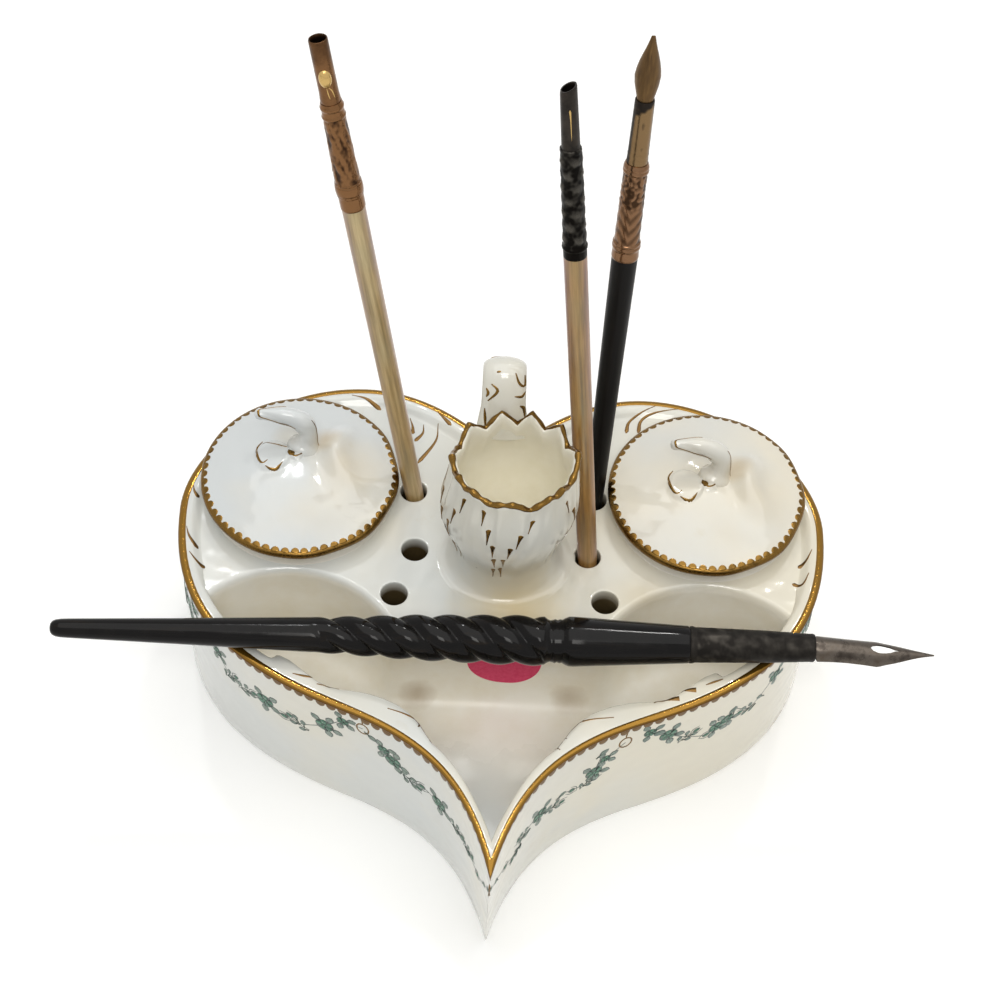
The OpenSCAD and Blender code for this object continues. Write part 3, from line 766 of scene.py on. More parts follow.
# the brush ran dry here and there, which pales the line over a few millimetres
LINE_GREEN = enamel("over-glaze enamel, drawn dark line", 3, 0.5, "#24352D", "#47594F", 0.3)


def turned_to(centre, turn, points):
    """Points of a small drawing, turned and set down on the wall."""
    c, s = math.cos(turn), math.sin(turn)
    return [(centre[0] + u * c - v * s, centre[1] + u * s + v * c) for u, v in points]


def leaf(centre, size, turn):
    """An outlined leaf: a thin wash inside a dark line, its stem and its vein."""
    shape = [(-0.5, 0), (-0.3, -0.25), (0.0, -0.36), (0.28, -0.25), (0.5, 0), (0.28, 0.25), (0.0, 0.36),
             (-0.3, 0.25)]
    pad(lines, on_wall, centre, turn, [(u * size, v * size) for u, v in shape], 0.05)
    pad(washes, on_wall, centre, turn, [(0.76 * u * size, 0.7 * v * size) for u, v in shape], 0.16)
    stem = [(-0.9 * size, -0.05 * size), (-0.2 * size, 0.0), (0.25 * size, 0)]
    stroke(lines, on_wall, turned_to(centre, turn, stem), 0.24, hair, 0.2, 2)


def rose(centre, size, turn):
    """Five petals round a middle, with dark lines between them, and leaves all round."""
    for k in range(5):
        a = turn + 0.5 + 2 * math.pi * k / 5 + 0.3 * math.sin(k * 2.3 + turn)
        far = 0.95 * size + 1.1 + 0.3 * math.sin(k * 3.1 + turn)
        if k != 2:
            leaf((centre[0] + far * math.cos(a), centre[1] + far * math.sin(a)), 2.3 + 0.4 * size, a)
    pad(lines, on_wall, centre, turn, oval(0.98 * size, 0.94 * size, 16), 0.05)
    for k in range(5):
        a = turn + 2 * math.pi * k / 5
        pad(fills, on_wall, (centre[0] + 0.58 * size * math.cos(a), centre[1] + 0.56 * size * math.sin(a)), a,
            oval(0.36 * size, 0.31 * size, 8), 0.18)
    pad(fills, on_wall, centre, turn, oval(0.19 * size, 0.19 * size, 8), 0.2)


def sprig(centre, size, turn):
    """A stem with four leaves and a bud at its end."""
    stem = [(-size, -0.2 * size), (-0.2 * size, 0.1 * size), (0.9 * size, 0)]
    stroke(lines, on_wall, turned_to(centre, turn, stem), 0.3, hair, 0.06, 4)
    for u, v, lean in ((-0.6, 0.5, 0.9), (-0.1, -0.55, -0.9), (0.35, 0.6, 0.8), (0.75, -0.45, -0.6)):
        leaf(turned_to(centre, turn, [(u * size, v * size)])[0], 0.85 * size, turn + lean)
    bud(turned_to(centre, turn, [(1.15 * size, 0)])[0], 0.7 * size, turn)


def bud(centre, size, turn):
    """A closed bud between two sepals."""
    pad(lines, on_wall, centre, turn, oval(0.6 * size, 0.46 * size, 10), 0.05)
    pad(fills, on_wall, centre, turn, oval(0.42 * size, 0.28 * size, 10), 0.18)
    for bow in (-1, 1):
        sepal = [(-1.1 * size, 0), (-0.3 * size, 0.7 * bow * size), (0.8 * size, 0.6 * bow * size)]
        stroke(lines, on_wall, turned_to(centre, turn, sepal), 0.3, hair, 0.06, 3)


def ring(centre, size, turn):
    """A gold loop under the rim, with the tie that it hangs from."""
    s, z = centre
    stroke(loops, on_wall, turned_to(centre, turn, looped(oval(0.75 * size, size, 14))), 0.45, even, 0.12, 1)
    stroke(loops, on_wall, [(s, z + size), (s, z + size + 1.2), (s + 0.2, z + size + 2.4)], 0.5, hair, 0.12, 3)


# how to draw each kind, and how much larger than its size in the lists
DRAWINGS = {"rose": (rose, 0.92), "leaf": (leaf, 1.4), "sprig": (sprig, 1.1), "bud": (bud, 1.1),
            "ring": (ring, 1)}
lines, fills, washes, loops = bmesh.new(), bmesh.new(), bmesh.new(), bmesh.new()
for side in (-1, 1):
    drawn = list(FRONT_SWAG[side])
    for n in range(SWAGS_A_SIDE):
        shift = side * n * SWAG_WIDTH
        drawn += [(kind, s + shift, z, size, turn) for kind, s, z, size, turn in SIDE_SWAG[side]]
        drawn.append(("ring", side * (FIRST_RING + (n + 1) * SWAG_WIDTH), RING_Z, 2.2, 0))
    for kind, s, z, size, turn in drawn:
        if abs(s) < LENGTHS[-1] - 3:
            draw, scale = DRAWINGS[kind]
            draw((s, z), scale * size, turn)
    # a thin stem threads the flowers of each swag
    spans = [(1, FIRST_RING - 1)] + [(FIRST_RING + n * SWAG_WIDTH, SWAG_WIDTH - 1) for n in range(SWAGS_A_SIDE)]
    for low, width in spans:
        thread = sorted((abs(s), z) for _, s, z, _, _ in drawn if low < abs(s) < low + width)
        path = [(side * s, z) for s, z in thread if s < LENGTHS[-1] - 3]
        if len(path) > 2:
            stroke(lines, on_wall, path, 0.28, even, 0.05, 4)
finish("garland_flowers", fills, FLOWER_GREEN, "stand", sharp=60)
finish("garland_washes", washes, LEAF_WASH, "stand", sharp=60)
finish("garland_lines", lines, LINE_GREEN, "stand", sharp=60)
finish("garland_ties", loops, GILDING, "stand", sharp=60)

# ---------------------------------------------------------------------------------------------
# Ink wells. Two thrown pots of the same porcelain, luted into the deck, each with a flat collar
# that carries its lid. The collar's top is ground and the pot keeps a crust of dried blue ink.

# height and radius, from under the foot up the outside, over the collar and down the inside
WELL_PROFILE = [(14, 0.3), (14, 21.8), (44.6, 21.8), (45.15, 24.2), (45.5, 23.8), (46.2, 23.62), (48.9, 23.6),
                (49.25, 23.45), (49.4, 23.1), (49.4, 20.4), (49.25, 20.0), (48.8, 19.8), (24, 19.8), (20, 19.2),
                (18, 17.6), (17.2, 15), (17, 11), (17, 0.3)]
LID_Z = 49.5


def turned(bm, profile, segments=96, relief=None):
    """Spins the (height, radius) stations, closed on the axis, round z. Then relief(height, angle)
    adds to the radius of every point."""
    stations = [(profile[0][0], 0.0)] + list(profile) + [(profile[-1][0], 0.0)]
    verts = [bm.verts.new(Vector((r, 0, h)) * MM) for h, r in stations]
    edges = [bm.edges.new(pair) for pair in zip(verts, verts[1:])]
    bmesh.ops.spin(bm, geom=verts + edges, cent=(0, 0, 0), axis=(0, 0, 1), angle=2 * math.pi, steps=segments,
                   use_merge=True)
    bmesh.ops.remove_doubles(bm, verts=bm.verts, dist=2e-7)
    for v in bm.verts:
        r = v.co.xy.length / MM
        if relief and r > 0.05:
            share = 1 + relief(v.co.z / MM, math.atan2(v.co.y, v.co.x)) / r
            v.co.x, v.co.y = v.co.x * share, v.co.y * share


WELL_PORCELAIN, tree, shader, coords = material("glazed porcelain with dried ink")
# white under a wavy crust of blue-black, which is dull at the bottom and thins out over 10 mm
height = node(tree, "ShaderNodeSeparateXYZ", links={0: coords}).outputs[2]
wavy = weighted(tree, lumps(tree, coords, 9, 3.0), 0.006, height)
crust = ramp(tree, wavy, (0.0215, 1), (0.0235, 0.55), (0.0262, 0.12), (0.030, 0))
coloured(tree, shader, over(tree, crust, "#E6E1D6", "#141C33"))
tree.links.new(ramp(tree, crust, (0, 0.12), (1, 0.5)), shader.inputs["Roughness"])
bump(tree, shader, lumps(tree, coords, 5, 3.0), 0.15, 0.5)

for side, name in ((-1, "left_ink_well"), (1, "right_ink_well")):
    pot = bmesh.new()
    turned(pot, WELL_PROFILE)
    bmesh.ops.translate(pot, vec=Vector((side * WELL_X, 0, 0)) * MM, verts=pot.verts)
    finish(name, pot, WELL_PORCELAIN, "stand", (name,))

# ---------------------------------------------------------------------------------------------
# Taper cup. A moulded beaker whose body is overlapping petals with an uneven zigzag mouth; its
# foot flares out and melts into the deck. The mouth is gilded, gilt dashes run down in a V
# wherever two petals meet, and a flat strap handle arches from its back down to the deck.

CUP_AT = Vector((0.8, -19, 0))
CUP_OVAL = 0.91
CUP_LEAN = 1.2
CUP_WALL = 2.0
CUP_Z = 85
# height and radius of the outside, from the flared foot up
CUP_OUTSIDE = [
    (44.9, 18.2), (45.16, 17.8), (45.22, 17.2), (45.3, 16.4), (45.5, 15.5), (46.1, 14.6), (47.2, 13.8),
    (48.5, 13.2), (50.2, 12.85), (52, 12.6), (54, 12.8), (56, 13.3), (58.5, 14.1), (61, 14.95), (63.5, 15.75),
    (66, 16.4), (68.5, 16.8), (71, 16.9), (73, 16.75), (75, 16.5), (77, 16.15), (79, 15.8), (80.5, 15.55),
    (82, 15.4), (83.5, 15.3), (84.6, 15.25),
]
# the mouth's zigzag: degrees round the cup from the right, height of the edge
MOUTH = [
    (7, 87.8), (29, 83.6), (43.4, 88), (60, 83.8), (75.4, 87.8), (88.3, 83.5), (103.7, 87.6), (120.7, 83.5),
    (138.8, 87.6), (157, 83.8), (170, 85.4), (183.3, 87.6), (196, 85.0), (208.5, 87), (219, 85.2), (228.4, 86.6),
    (249, 84.6), (259, 85.6), (269.7, 86.2), (278, 85), (286, 83.2), (296, 84.6), (306, 86.2), (313, 85.2),
    (320, 86.8), (333, 84.8), (346, 86.6),
]
CUP_STEPS = 216


def mouth(angle):
    """Height of the mouth's edge at an angle."""
    turn = math.degrees(angle) % 360
    points = [(MOUTH[-1][0] - 360, MOUTH[-1][1])] + MOUTH + [(MOUTH[0][0] + 360, MOUTH[0][1])]
    return next(blend(a[1], b[1], (turn - a[0]) / (b[0] - a[0]))
                for a, b in zip(points, points[1:]) if b[0] >= turn)


def cup_radius(z):
    """Radius of the cup's outside at a height, before its petals."""
    return next(blend(a[1], b[1], (z - a[0]) / (b[0] - a[0]))
                for a, b in zip(CUP_OUTSIDE, CUP_OUTSIDE[1:]) if b[0] >= z or b is CUP_OUTSIDE[-1])


def cup_relief(z, angle):
    """Six broad petals swell between the places where they meet in a V low on the body."""
    share = smooth((z - 49) / 9) * smooth((86 - z) / 6)
    k = (angle + math.pi / 2) * 6 / (2 * math.pi)
    t = abs(k - round(k)) * 2
    open_v = 0.06 + 0.5 * smooth((z - 53) / 26)
    edge = math.exp(-((t - open_v) / 0.14) ** 2)
    inner = 0.2 * smooth((open_v - t) / 0.2)
    return share * (0.4 * math.sin(math.pi * min(1, t)) - 0.4 * edge + inner - 0.1)


def cup_point(z, r, angle, petal, relief=1.0):
    """A point of the cup; petal is how much of the zigzag it follows."""
    rise = mouth(angle) - CUP_Z
    r = r + 0.16 * petal * rise + relief * cup_relief(z, angle)
    lean = CUP_LEAN * smooth((z - 60) / 25)
    return CUP_AT + Vector((r * math.cos(angle) + lean, r * CUP_OVAL * math.sin(angle), z + petal * rise))


def cup_ring(z, r, relief=1.0, petal=None):
    """A ring of the cup; above 68 it follows the zigzag more and more, unless petal is given."""
    petal = smooth((z - 68) / 17) if petal is None else petal
    return [cup_point(z, r, a, petal, relief) for a in turns(CUP_STEPS)]


# up the outside, over the mouth, down the inside and across its floor
cup = bmesh.new()
rings = [cup_ring(z, r, smooth((z - 49) / 4)) for z, r in CUP_OUTSIDE]
rings += [cup_ring(z, r, relief)
          for z, r, relief in ((85.0, 15.0, 0.8), (85.1, 14.55, 0.5), (85.0, 14.0, 0.3), (84.5, 13.6, 0.2))]
rings += [cup_ring(z, r - CUP_WALL + 0.2, 0.15) for z, r in CUP_OUTSIDE[-3:10:-1]]
rings += [cup_ring(z, r, 0, 0) for z, r in ((53.6, 9.5), (52.4, 7.5), (51.8, 4), (51.7, 1))]
closed(cup, rings)
# cream inside the cup, painted lighter than the outside as painted light down in the cup
CUP_PORCELAIN = porcelain("glazed porcelain, cream and painted lighter inside the cup", "#D8DAD6", "#E2DCCA", "#C6B894", 0.36,
                          ("#F0EBD8", "#F7F3E5"), TEA_AND_SHADE_MARKS[:2])
cup_piece = finish("taper_cup", cup, CUP_PORCELAIN, "stand", ("taper_cup",), sharp=60)


def inside_cup(v):
    """1 on the cream inside, 0 on the outside."""
    x, y, z = v.co / MM - CUP_AT
    r = math.hypot(x - CUP_LEAN * smooth((z - 60) / 25), y / CUP_OVAL)
    return 1.0 if z > 51 and r < cup_radius(z) - 0.9 else 0.0


mark(cup_piece, "tea_and_light", inside_cup)

STRAP = [(-1.2, -5, 78), (-1.2, 4, 110), (-1.2, 13, 88), (-1.2, 7.3, 45)]
STRAP_LENGTH = 62


def strap_frame(t):
    """The strap's centre at t, with its sideways and outward directions."""
    side = Vector((1, 0, 0))
    return bezier(STRAP, t), side, side.cross(slope(STRAP, t))


def on_strap(u, v, d):
    """u is across the strap and v along it from the mouth, d proud of its outer face."""
    centre, side, out = strap_frame(v / STRAP_LENGTH)
    wide, deep = strap_size(v / STRAP_LENGTH)
    bow = math.sqrt(max(0.0, 1 - (u / wide) ** 2))
    return centre + side * u + out * (deep * bow + d)


def strap_size(t):
    """Half width and half thickness of the strap, which spreads where it is luted on."""
    wide = 5.5 - 0.2 * math.sin(math.pi * t) + 1.4 * smooth((t - 0.9) / 0.1) + 1.0 * smooth((0.12 - t) / 0.12)
    deep = 2.5 - 0.2 * math.sin(math.pi * t) + 0.7 * smooth((t - 0.92) / 0.08)
    return wide, deep


# crescents brushed down the strap: across it, and along it from the mouth
HANDLE_STROKES = [
    [(-3.2, 13), (-1.6, 11), (-3.9, 8)], [(-4.4, 11.5), (-3.9, 10.2), (-4.3, 9)],
    [(-2.0, 17), (-1.0, 17.3)], [(2.6, 17), (3.6, 13.5), (5.0, 12.6), (4.9, 16.6)],
    [(2.6, 9.6), (4.4, 9.4), (5.2, 10.6)], [(4.0, 7), (5.0, 6.2), (5.4, 4)], [(-4.6, 6), (-4.2, 2)],
    [(-3.4, 26), (-1.4, 28), (-3.2, 31)], [(3.2, 30), (1.2, 33), (3.0, 36)], [(-3.0, 40), (-1.2, 43), (-2.9, 46)],
    [(3.0, 45), (1.4, 48), (3.1, 51)],
]
handle = bmesh.new()
rings = []
for i in range(49):
    centre, side, out = strap_frame(i / 48)
    wide, deep = strap_size(i / 48)
    rings.append([centre + side * wide * math.cos(a) + out * deep * math.sin(a) for a in turns(28)])
closed(handle, rings)
finish("cup_handle", handle, BODY_PORCELAIN, "stand", ("cup_handle",), sharp=60)

cup_gilt = bmesh.new()
rings = []
for along_r, up in looped(oval(0.78, 0.8)):
    ring_of_gold = []
    for angle in turns(CUP_STEPS):
        thick = 0.95 + 0.25 * math.sin(angle * 23) * math.sin(angle * 7 + 1) - 0.2 * max(0.0, math.sin(angle))
        p = cup_point(84.9, 14.75, angle, 1.0, 0.6)
        out = Vector((math.cos(angle), math.sin(angle), 0))
        ring_of_gold.append(p + out * along_r * thick + Vector((0, 0, up * thick)))
    rings.append(ring_of_gold)
loft(cup_gilt, rings)


def on_cup(u, v, d):
    """u is the way round the cup in mm at a radius of 16, from the side that faces the writer, v
    the height."""
    angle = u / 16 - math.pi / 2
    return cup_point(v, cup_radius(v) + d, angle, smooth((v - 68) / 17) if v < 84 else 1.0)


# dashes down the two sides of a V, from its middle: way round, height at the head and at the tail
V_DASHES = [
    (-7.4, 82.0, -7.2, 77.8), (-5.3, 76.4, -5.0, 72.0), (-3.6, 71.0, -3.3, 66.6), (-3.0, 64.6, -2.8, 60.2),
    (-3.2, 58.0, -3.5, 53.8), (5.4, 80.8, 4.3, 77.2), (2.6, 76.0, 1.8, 71.8), (0.6, 71.0, 0.3, 67.0),
    (-0.7, 65.2, -0.5, 60.8), (-1.4, 58.2, -1.0, 53.8),
]
random.seed(21)
for k, middle in ((-2, -36), (-1, -20.5), (0, 0), (1, 20.5), (2, 36)):
    for u, top, v, low in V_DASHES:
        if k % 2:
            u, v = -u, -v
        slip = random.uniform(-0.25, 0.25) if k else 0
        stroke(cup_gilt, on_cup, [(middle + u + slip, top), (middle + (u + v) / 2 + slip, (top + low) / 2),
                                  (middle + v + slip, low - 0.9)], 1.5, tail, 0.14, 8)
for points in HANDLE_STROKES:
    stroke(cup_gilt, on_strap, points, 0.75, hair, 0.12, 4)
finish("cup_gilding", cup_gilt, GILDING, "stand", sharp=60)

# ---------------------------------------------------------------------------------------------
# Two ink well lids. Each is a pressed porcelain saucer, domed and modelled by hand with a swirl
# that ends in a horn-shaped grip over a small leaf; a ring underneath drops into the well. The
# edge is gilded with scallops, and thin gold lines pick out the horn, its neck and the leaf.

LID_R = 25.4
LID_EDGE_H = 1.8
LID_RISE = 5.6
LID_DABS = 61
LID_STEPS = 144
# radius and height, from the middle of the underside over the ring to the edge
LID_UNDERSIDE = [
    (0.4, LID_RISE + LID_EDGE_H - 2.6), (15.9, 2.3), (16.9, 1.2), (16.9, -2.2), (17.2, -2.5), (18.6, -2.5),
    (18.9, -2.2), (18.9, -0.3), (19.3, 0.0), (24.2, 0.0), (24.9, 0.12),
]
HORN = [(0.4, 5.2, 5.5), (4.2, 6.8, 14.5), (0.5, 8.2, 16.2), (-10.6, 7.6, 16.6)]
HORN_WIDTHS = [2.0, 2.3, 2.9, 2.6, 1.55]
# the horn is a little flattened, and grows out of the dome at this height
HORN_FLAT = 0.86
DOME_Z = 7.3
# the right lid's ornament was set nearer to the writer
ORNAMENT_SHIFT = {-1: Vector((0, 0)), 1: Vector((0.9, -4.2))}
LEAF_LINES = [
    [(-10.1, 6.8), (-11.2, 5), (-11.2, 2.5), (-10.2, -0.2), (-9.2, -1), (-8.1, -0.1)],
    [(-8.5, -2), (-7.2, -2.8), (-5.8, -2.9), (-4.9, -2), (-4.2, -0.9)],
]
# the gold round the edge: distance in from the edge, height
EDGE_BAND = [
    (1.0, 1.85), (0.95, 2.02), (0.5, 2.1), (0.05, 1.85), (-0.22, 1.4), (-0.3, 0.9), (-0.24, 0.3),
    (-0.02, -0.1), (0.4, -0.15), (0.5, 1.5), (1.0, 1.85),
]
THIN_LINE = [(-10, 6), (-6.5, 5.2), (-3.7, 4.3), (-0.6, 4.3)]
NECK_CURL = [(1.9, 4.4), (1.2, 2.9), (0, 1.6), (-1.3, 1.2), (-2.2, 2.0)]
# on the horn: the way round it in mm, + behind, and the place along it in parts
HORN_PARTS = 30
TIP_LINE = [(-5.7, 17), (-5.6, 22), (-5.3, 26), (-4.2, 29.3), (-2.0, 30), (0.5, 29.8), (1.9, 27.5), (2.3, 23)]
NECK_LINE = [(-0.4, 14), (-0.5, 10), (-0.4, 6), (-0.2, 2.5)]


def mound(x, y, cx, cy, sx, sy, turn=0.0):
    """A soft round swelling of height 1 at (cx, cy)."""
    c, s = math.cos(turn), math.sin(turn)
    u, v = (x - cx) * c + (y - cy) * s, -(x - cx) * s + (y - cy) * c
    return math.exp(-(u / sx) ** 2 - (v / sy) ** 2)


def lid_edge(angle):
    """The edge is round on the left and gently scalloped on the right, where the swirl ends."""
    lobes = smooth((math.cos(angle + 0.45) - 0.1) / 0.5)
    return LID_R - 0.1 - lobes * 0.38 * (0.5 - 0.5 * math.cos(angle * 9 + 0.6))


def lid_top(x, y, side):
    """Height of a lid's upper face over its underside at (x, y) from its centre."""
    r, angle = math.hypot(x, y), math.atan2(y, x)
    z = LID_EDGE_H + LID_RISE * (1 - (r / LID_R) ** 2)
    inside = smooth((LID_R - 1.3 - r) / 3)
    u, v = Vector((x, y)) - ORNAMENT_SHIFT[side]
    z += inside * 3.4 * mound(u, v, 9.6, 6.5, 3.6, 6.5, -0.25)
    z += inside * 1.9 * mound(u, v, 12, -2, 3.4, 6.2, 0.5)
    z -= inside * 0.7 * mound(u, v, 5.5, 0, 2.4, 6, 0.3)
    z -= inside * 0.8 * mound(u, v, -2.5, 7.5, 5, 3)
    # a flat leaf with a crisp edge, and the pad that the neck curls round
    leaf = math.hypot((u + 6.9) / 4.4, (v - 2.0) / 4.9)
    z += inside * 0.9 * smooth((1.1 - leaf) / 0.2)
    z += inside * 0.9 * smooth((1.15 - math.hypot(u + 1.2, v - 2.6) / 2.2) / 0.4)
    right = smooth((math.cos(angle + 0.35) - 0.15) / 0.5)
    flutes = 0.5 + 0.5 * math.cos(angle * 9 + 0.6 + (LID_R - r) * 0.12)
    z += right * 0.6 * (flutes ** 1.5 - 0.4) * smooth((r - 15) / 5) * smooth((LID_R - 0.5 - r) / 2.2)
    z += inside * 0.18 * (noise.noise(Vector((x, y, 3)) * 0.12) + 0.5 * noise.noise(Vector((x, y, 9)) * 0.3))
    return z


def at_edge(inset, z):
    """A ring that follows the lid's edge, set in by inset."""
    return [polar(1, a) * (lid_edge(a) - inset) + Vector((0, 0, z)) for a in turns(LID_STEPS)]


def lid_mesh(bm, centre, side):
    """The underside with its ring, the edge, and the modelled top."""
    rings = [[polar(r, a, z) for a in turns(LID_STEPS)] for r, z in LID_UNDERSIDE]
    rings += [at_edge(inset, z) for inset, z in ((0.12, 0.45), (0.0, 1.0), (0.06, 1.5), (0.3, 1.82))]
    for k in range(1, 45):
        radii = [(lid_edge(a) - 0.3) * (1 - k / 44) ** 0.95 + 0.15 for a in turns(LID_STEPS)]
        rings.append([polar(r, a, lid_top(r * math.cos(a), r * math.sin(a), side))
                      for r, a in zip(radii, turns(LID_STEPS))])
    closed(bm, [[p + centre for p in ring] for ring in rings])


def horn_size(t, height):
    """Half width of the horn at t, which is height over the dome; it melts into the dome."""
    width = along(HORN_WIDTHS, smooth(t * 4 % 1) + int(t * 4) if t < 1 else 4)
    return width + 2.4 * math.exp(-max(0.0, height) / 1.3)


def horn_frame(t):
    """The horn's centre at t, with its level, upward and lengthwise directions."""
    centre = bezier(HORN, t)
    run = slope(HORN, t)
    level = Vector((0, 1, 0)).cross(run).normalized()
    return centre, level, run.cross(level), run


def on_horn(u, v, d):
    """u is the way round the horn in mm at a radius of 3, from its outer side, v the part along it."""
    centre, level, across, _ = horn_frame(v / HORN_PARTS)
    w = horn_size(v / HORN_PARTS, centre.z - DOME_Z)
    a = u / 3
    return centre + level * (w + d) * math.cos(a) + across * (HORN_FLAT * w + d) * math.sin(a)


def horn_mesh(bm, centre):
    """The horn, from inside the dome to its rounded tip."""
    rings = []
    for i in range(41):
        t = i / 40
        p, level, across, _ = horn_frame(t)
        w = horn_size(t, p.z - DOME_Z)
        coil = []
        for a in turns(32):
            # a groove winds round the horn, as it was rolled up from a strip
            groove = 0.2 * math.exp(-((math.sin((a - 5.2 * t - 0.6) / 2)) / 0.16) ** 2) * smooth((t - 0.1) / 0.2)
            coil.append(p + (level * math.cos(a) + across * HORN_FLAT * math.sin(a)) * (w - groove))
        rings.append(coil)
    p, level, across, run = horn_frame(1)
    # the tip is rounded off
    for back, share in ((0.55, 0.86), (0.95, 0.55), (1.1, 0.2)):
        w = HORN_WIDTHS[-1] * share
        rings.append([p + run * back + (level * math.cos(a) + across * HORN_FLAT * math.sin(a)) * w
                      for a in turns(32)])
    closed(bm, [[q + centre for q in ring] for ring in rings])


# warm brown round the ornament, partly tea that settled there and partly painted shade in its
# hollows, and a tea stain on the front of the dome
LID_TEA_AND_SHADE_MARKS = [((side * WELL_X + x, y, 58), reach, share, colour) for side, dx, dy in ((-1, 0, 0), (1, 0.9, -4.2))
             for x, y, reach, share, colour in ((6.2 + dx, 7.5 + dy, 5, 0.75, "#C0A97E"),
                                                (-3 + dx, 9 + dy, 4, 0.6, "#C6B694"),
                                                (12 + dx, 0 + dy, 10, 0.6, "#D6C8AA"),
                                                (3 + dx, -16, 8, 0.5, "#D8CDB4"))]
LID_PORCELAIN = porcelain("glazed porcelain of the lids", "#D2D6D6", "#E4DDCB", "#CFBD95", 0.33, marks=LID_TEA_AND_SHADE_MARKS)
for side, name in ((-1, "left_lid"), (1, "right_lid")):
    centre = Vector((side * WELL_X, 0, LID_Z))
    lid = bmesh.new()
    shift = ORNAMENT_SHIFT[side].to_3d()
    lid_mesh(lid, centre, side)
    horn_mesh(lid, centre + shift)
    finish(name, lid, LID_PORCELAIN, name, (name, name + "_knob"), sharp=60)

    def on_lid(x, y, d):
        return centre + Vector((x, y, lid_top(x, y, side) + d))

    def by_ornament(x, y, d):
        return on_lid(x + shift.x, y + shift.y, d)

    def on_its_horn(u, v, d):
        return centre + shift + on_horn(u, v, d)

    def round_lid(u, v, d):
        """u is the way round the edge in mm, v the distance from the centre."""
        a = u / LID_R
        r = v + lid_edge(a) - LID_R
        return on_lid(r * math.cos(a), r * math.sin(a), d)

    trim = bmesh.new()
    loft(trim, [[centre + polar(1, a) * (lid_edge(a) - inset) + Vector((0, 0, z)) for a in turns(LID_STEPS)]
                for inset, z in EDGE_BAND])
    random.seed(11 + side)
    for k in range(LID_DABS):
        u = (k + random.uniform(-0.06, 0.06)) * 2 * math.pi * LID_R / LID_DABS
        pad(trim, round_lid, (u, LID_R - 0.75 + random.uniform(-0.1, 0.1)), random.uniform(-0.08, 0.08),
            scallop(1.12, 0.2, 1.0), 0.12)
    for points in LEAF_LINES:
        stroke(trim, by_ornament, points, 0.62, hair, 0.12, 5)
    if side < 0:
        stroke(trim, by_ornament, THIN_LINE, 0.34, hair, 0.1, 5)
    stroke(trim, on_its_horn, TIP_LINE, 0.5, hair, 0.1, 5)
    stroke(trim, on_its_horn, NECK_LINE, 0.5, hair, 0.1, 5)
    stroke(trim, by_ornament, NECK_CURL, 0.75, comma, 0.14, 5)
    pad(trim, by_ornament, (-2.2, 2.0), 0, oval(0.95, 0.85, 10), 0.25)
    finish(name + "_gilding", trim, GILDING, name, sharp=60)

# ---------------------------------------------------------------------------------------------
# Pearl pen. A shaft built of mother-of-pearl staves, turned round, with a rolled-gold ferrule
# that is chased with scrolls between beaded rings, and a plain gold tube that takes the nib. An
# oval catch is soldered on the tube, over a slit.

def pen_frame(hole, lean, heading):
    """Maps a pen's own axes, with z = 0 where its axis crosses the deck, to the frame in mm."""
    return (Matrix.Translation((hole[0], hole[1], DECK_Z)) @ Matrix.Rotation(math.radians(heading), 4, "Z")
            @ Matrix.Rotation(math.radians(lean), 4, "Y"))


def facing(put):
    """Angle round a pen, in its own axes, that faces up and towards the writer."""
    d = put.to_3x3().inverted() @ Vector((0.0, -0.66, 0.75))
    return math.atan2(d.y, d.x)


def fine(profile, step):
    """The same profile with stations no further apart than step."""
    full = []
    for (h, r), (k, q) in zip(profile, profile[1:]):
        n = max(1, math.ceil(abs(k - h) / step))
        full += [(blend(h, k, i / n), blend(r, q, i / n)) for i in range(n)]
    return full + [profile[-1]]


def own_axes(put):
    """The pen frame in metres, for the attribute that its materials read."""
    return Matrix.Scale(MM, 4) @ put @ Matrix.Scale(1 / MM, 4)


def pearl(name, dark, middle, light, cloudy):
    """Mother-of-pearl. The growth layers run along the shaft in streaks some 20 mm long and a
    millimetre wide, greener clouds of about 14 mm lie over them, and the thin layers under the
    polish give the eye a faint play of colour."""
    made, tree, shader, coords = material(name, "own")
    streaks = lumps(tree, lengthwise(tree, coords, 0.06), 1.1, 4.0, 0.6)
    shell = ramp(tree, streaks, (0.3, dark), (0.5, middle), (0.7, light))
    cloud = lumps(tree, coords, 14, 2.0)
    shell = over(tree, ramp(tree, cloud, (0.42, 0), (0.75, 0.4)), shell, cloudy)
    coloured(tree, shader, shell, Roughness=0.3, Coat_Weight=0.3, Coat_Roughness=0.08, Thin_Film_Thickness=420.0,
             Thin_Film_IOR=1.6)
    bump(tree, shader, streaks, 0.05, 0.5)
    return made


PEARL = pearl("mother-of-pearl staves", "#8F7348", "#B2925F", "#CDB07F", "#A59A78")


def lathed(name, profile, put, segments, relief, material, body, sharp=40):
    """A piece turned in its own axes, which put maps to the frame; it stands for the node name."""
    bm = bmesh.new()
    turned(bm, profile, segments, relief)
    bmesh.ops.transform(bm, matrix=own_axes(put), verts=bm.verts)
    return finish(name, bm, material, body, (name,), sharp, own_axes(put))


def chased(name, profile, put, relief, depth, step, segments, material):
    """A turned metal piece with a chased pattern; relief(station, angle) runs from 0 to 1."""
    piece = lathed(name, fine(profile, step), put, segments, lambda h, a: depth * (relief(h, a) - 0.5), material,
                   name.rsplit("_", 1)[0], 50)
    places = [[c / MM for c in item.vector] for item in piece.data.attributes["own"].data]
    mark(piece, "worn", lambda v: relief(places[v.index][2], math.atan2(places[v.index][1], places[v.index][0])))


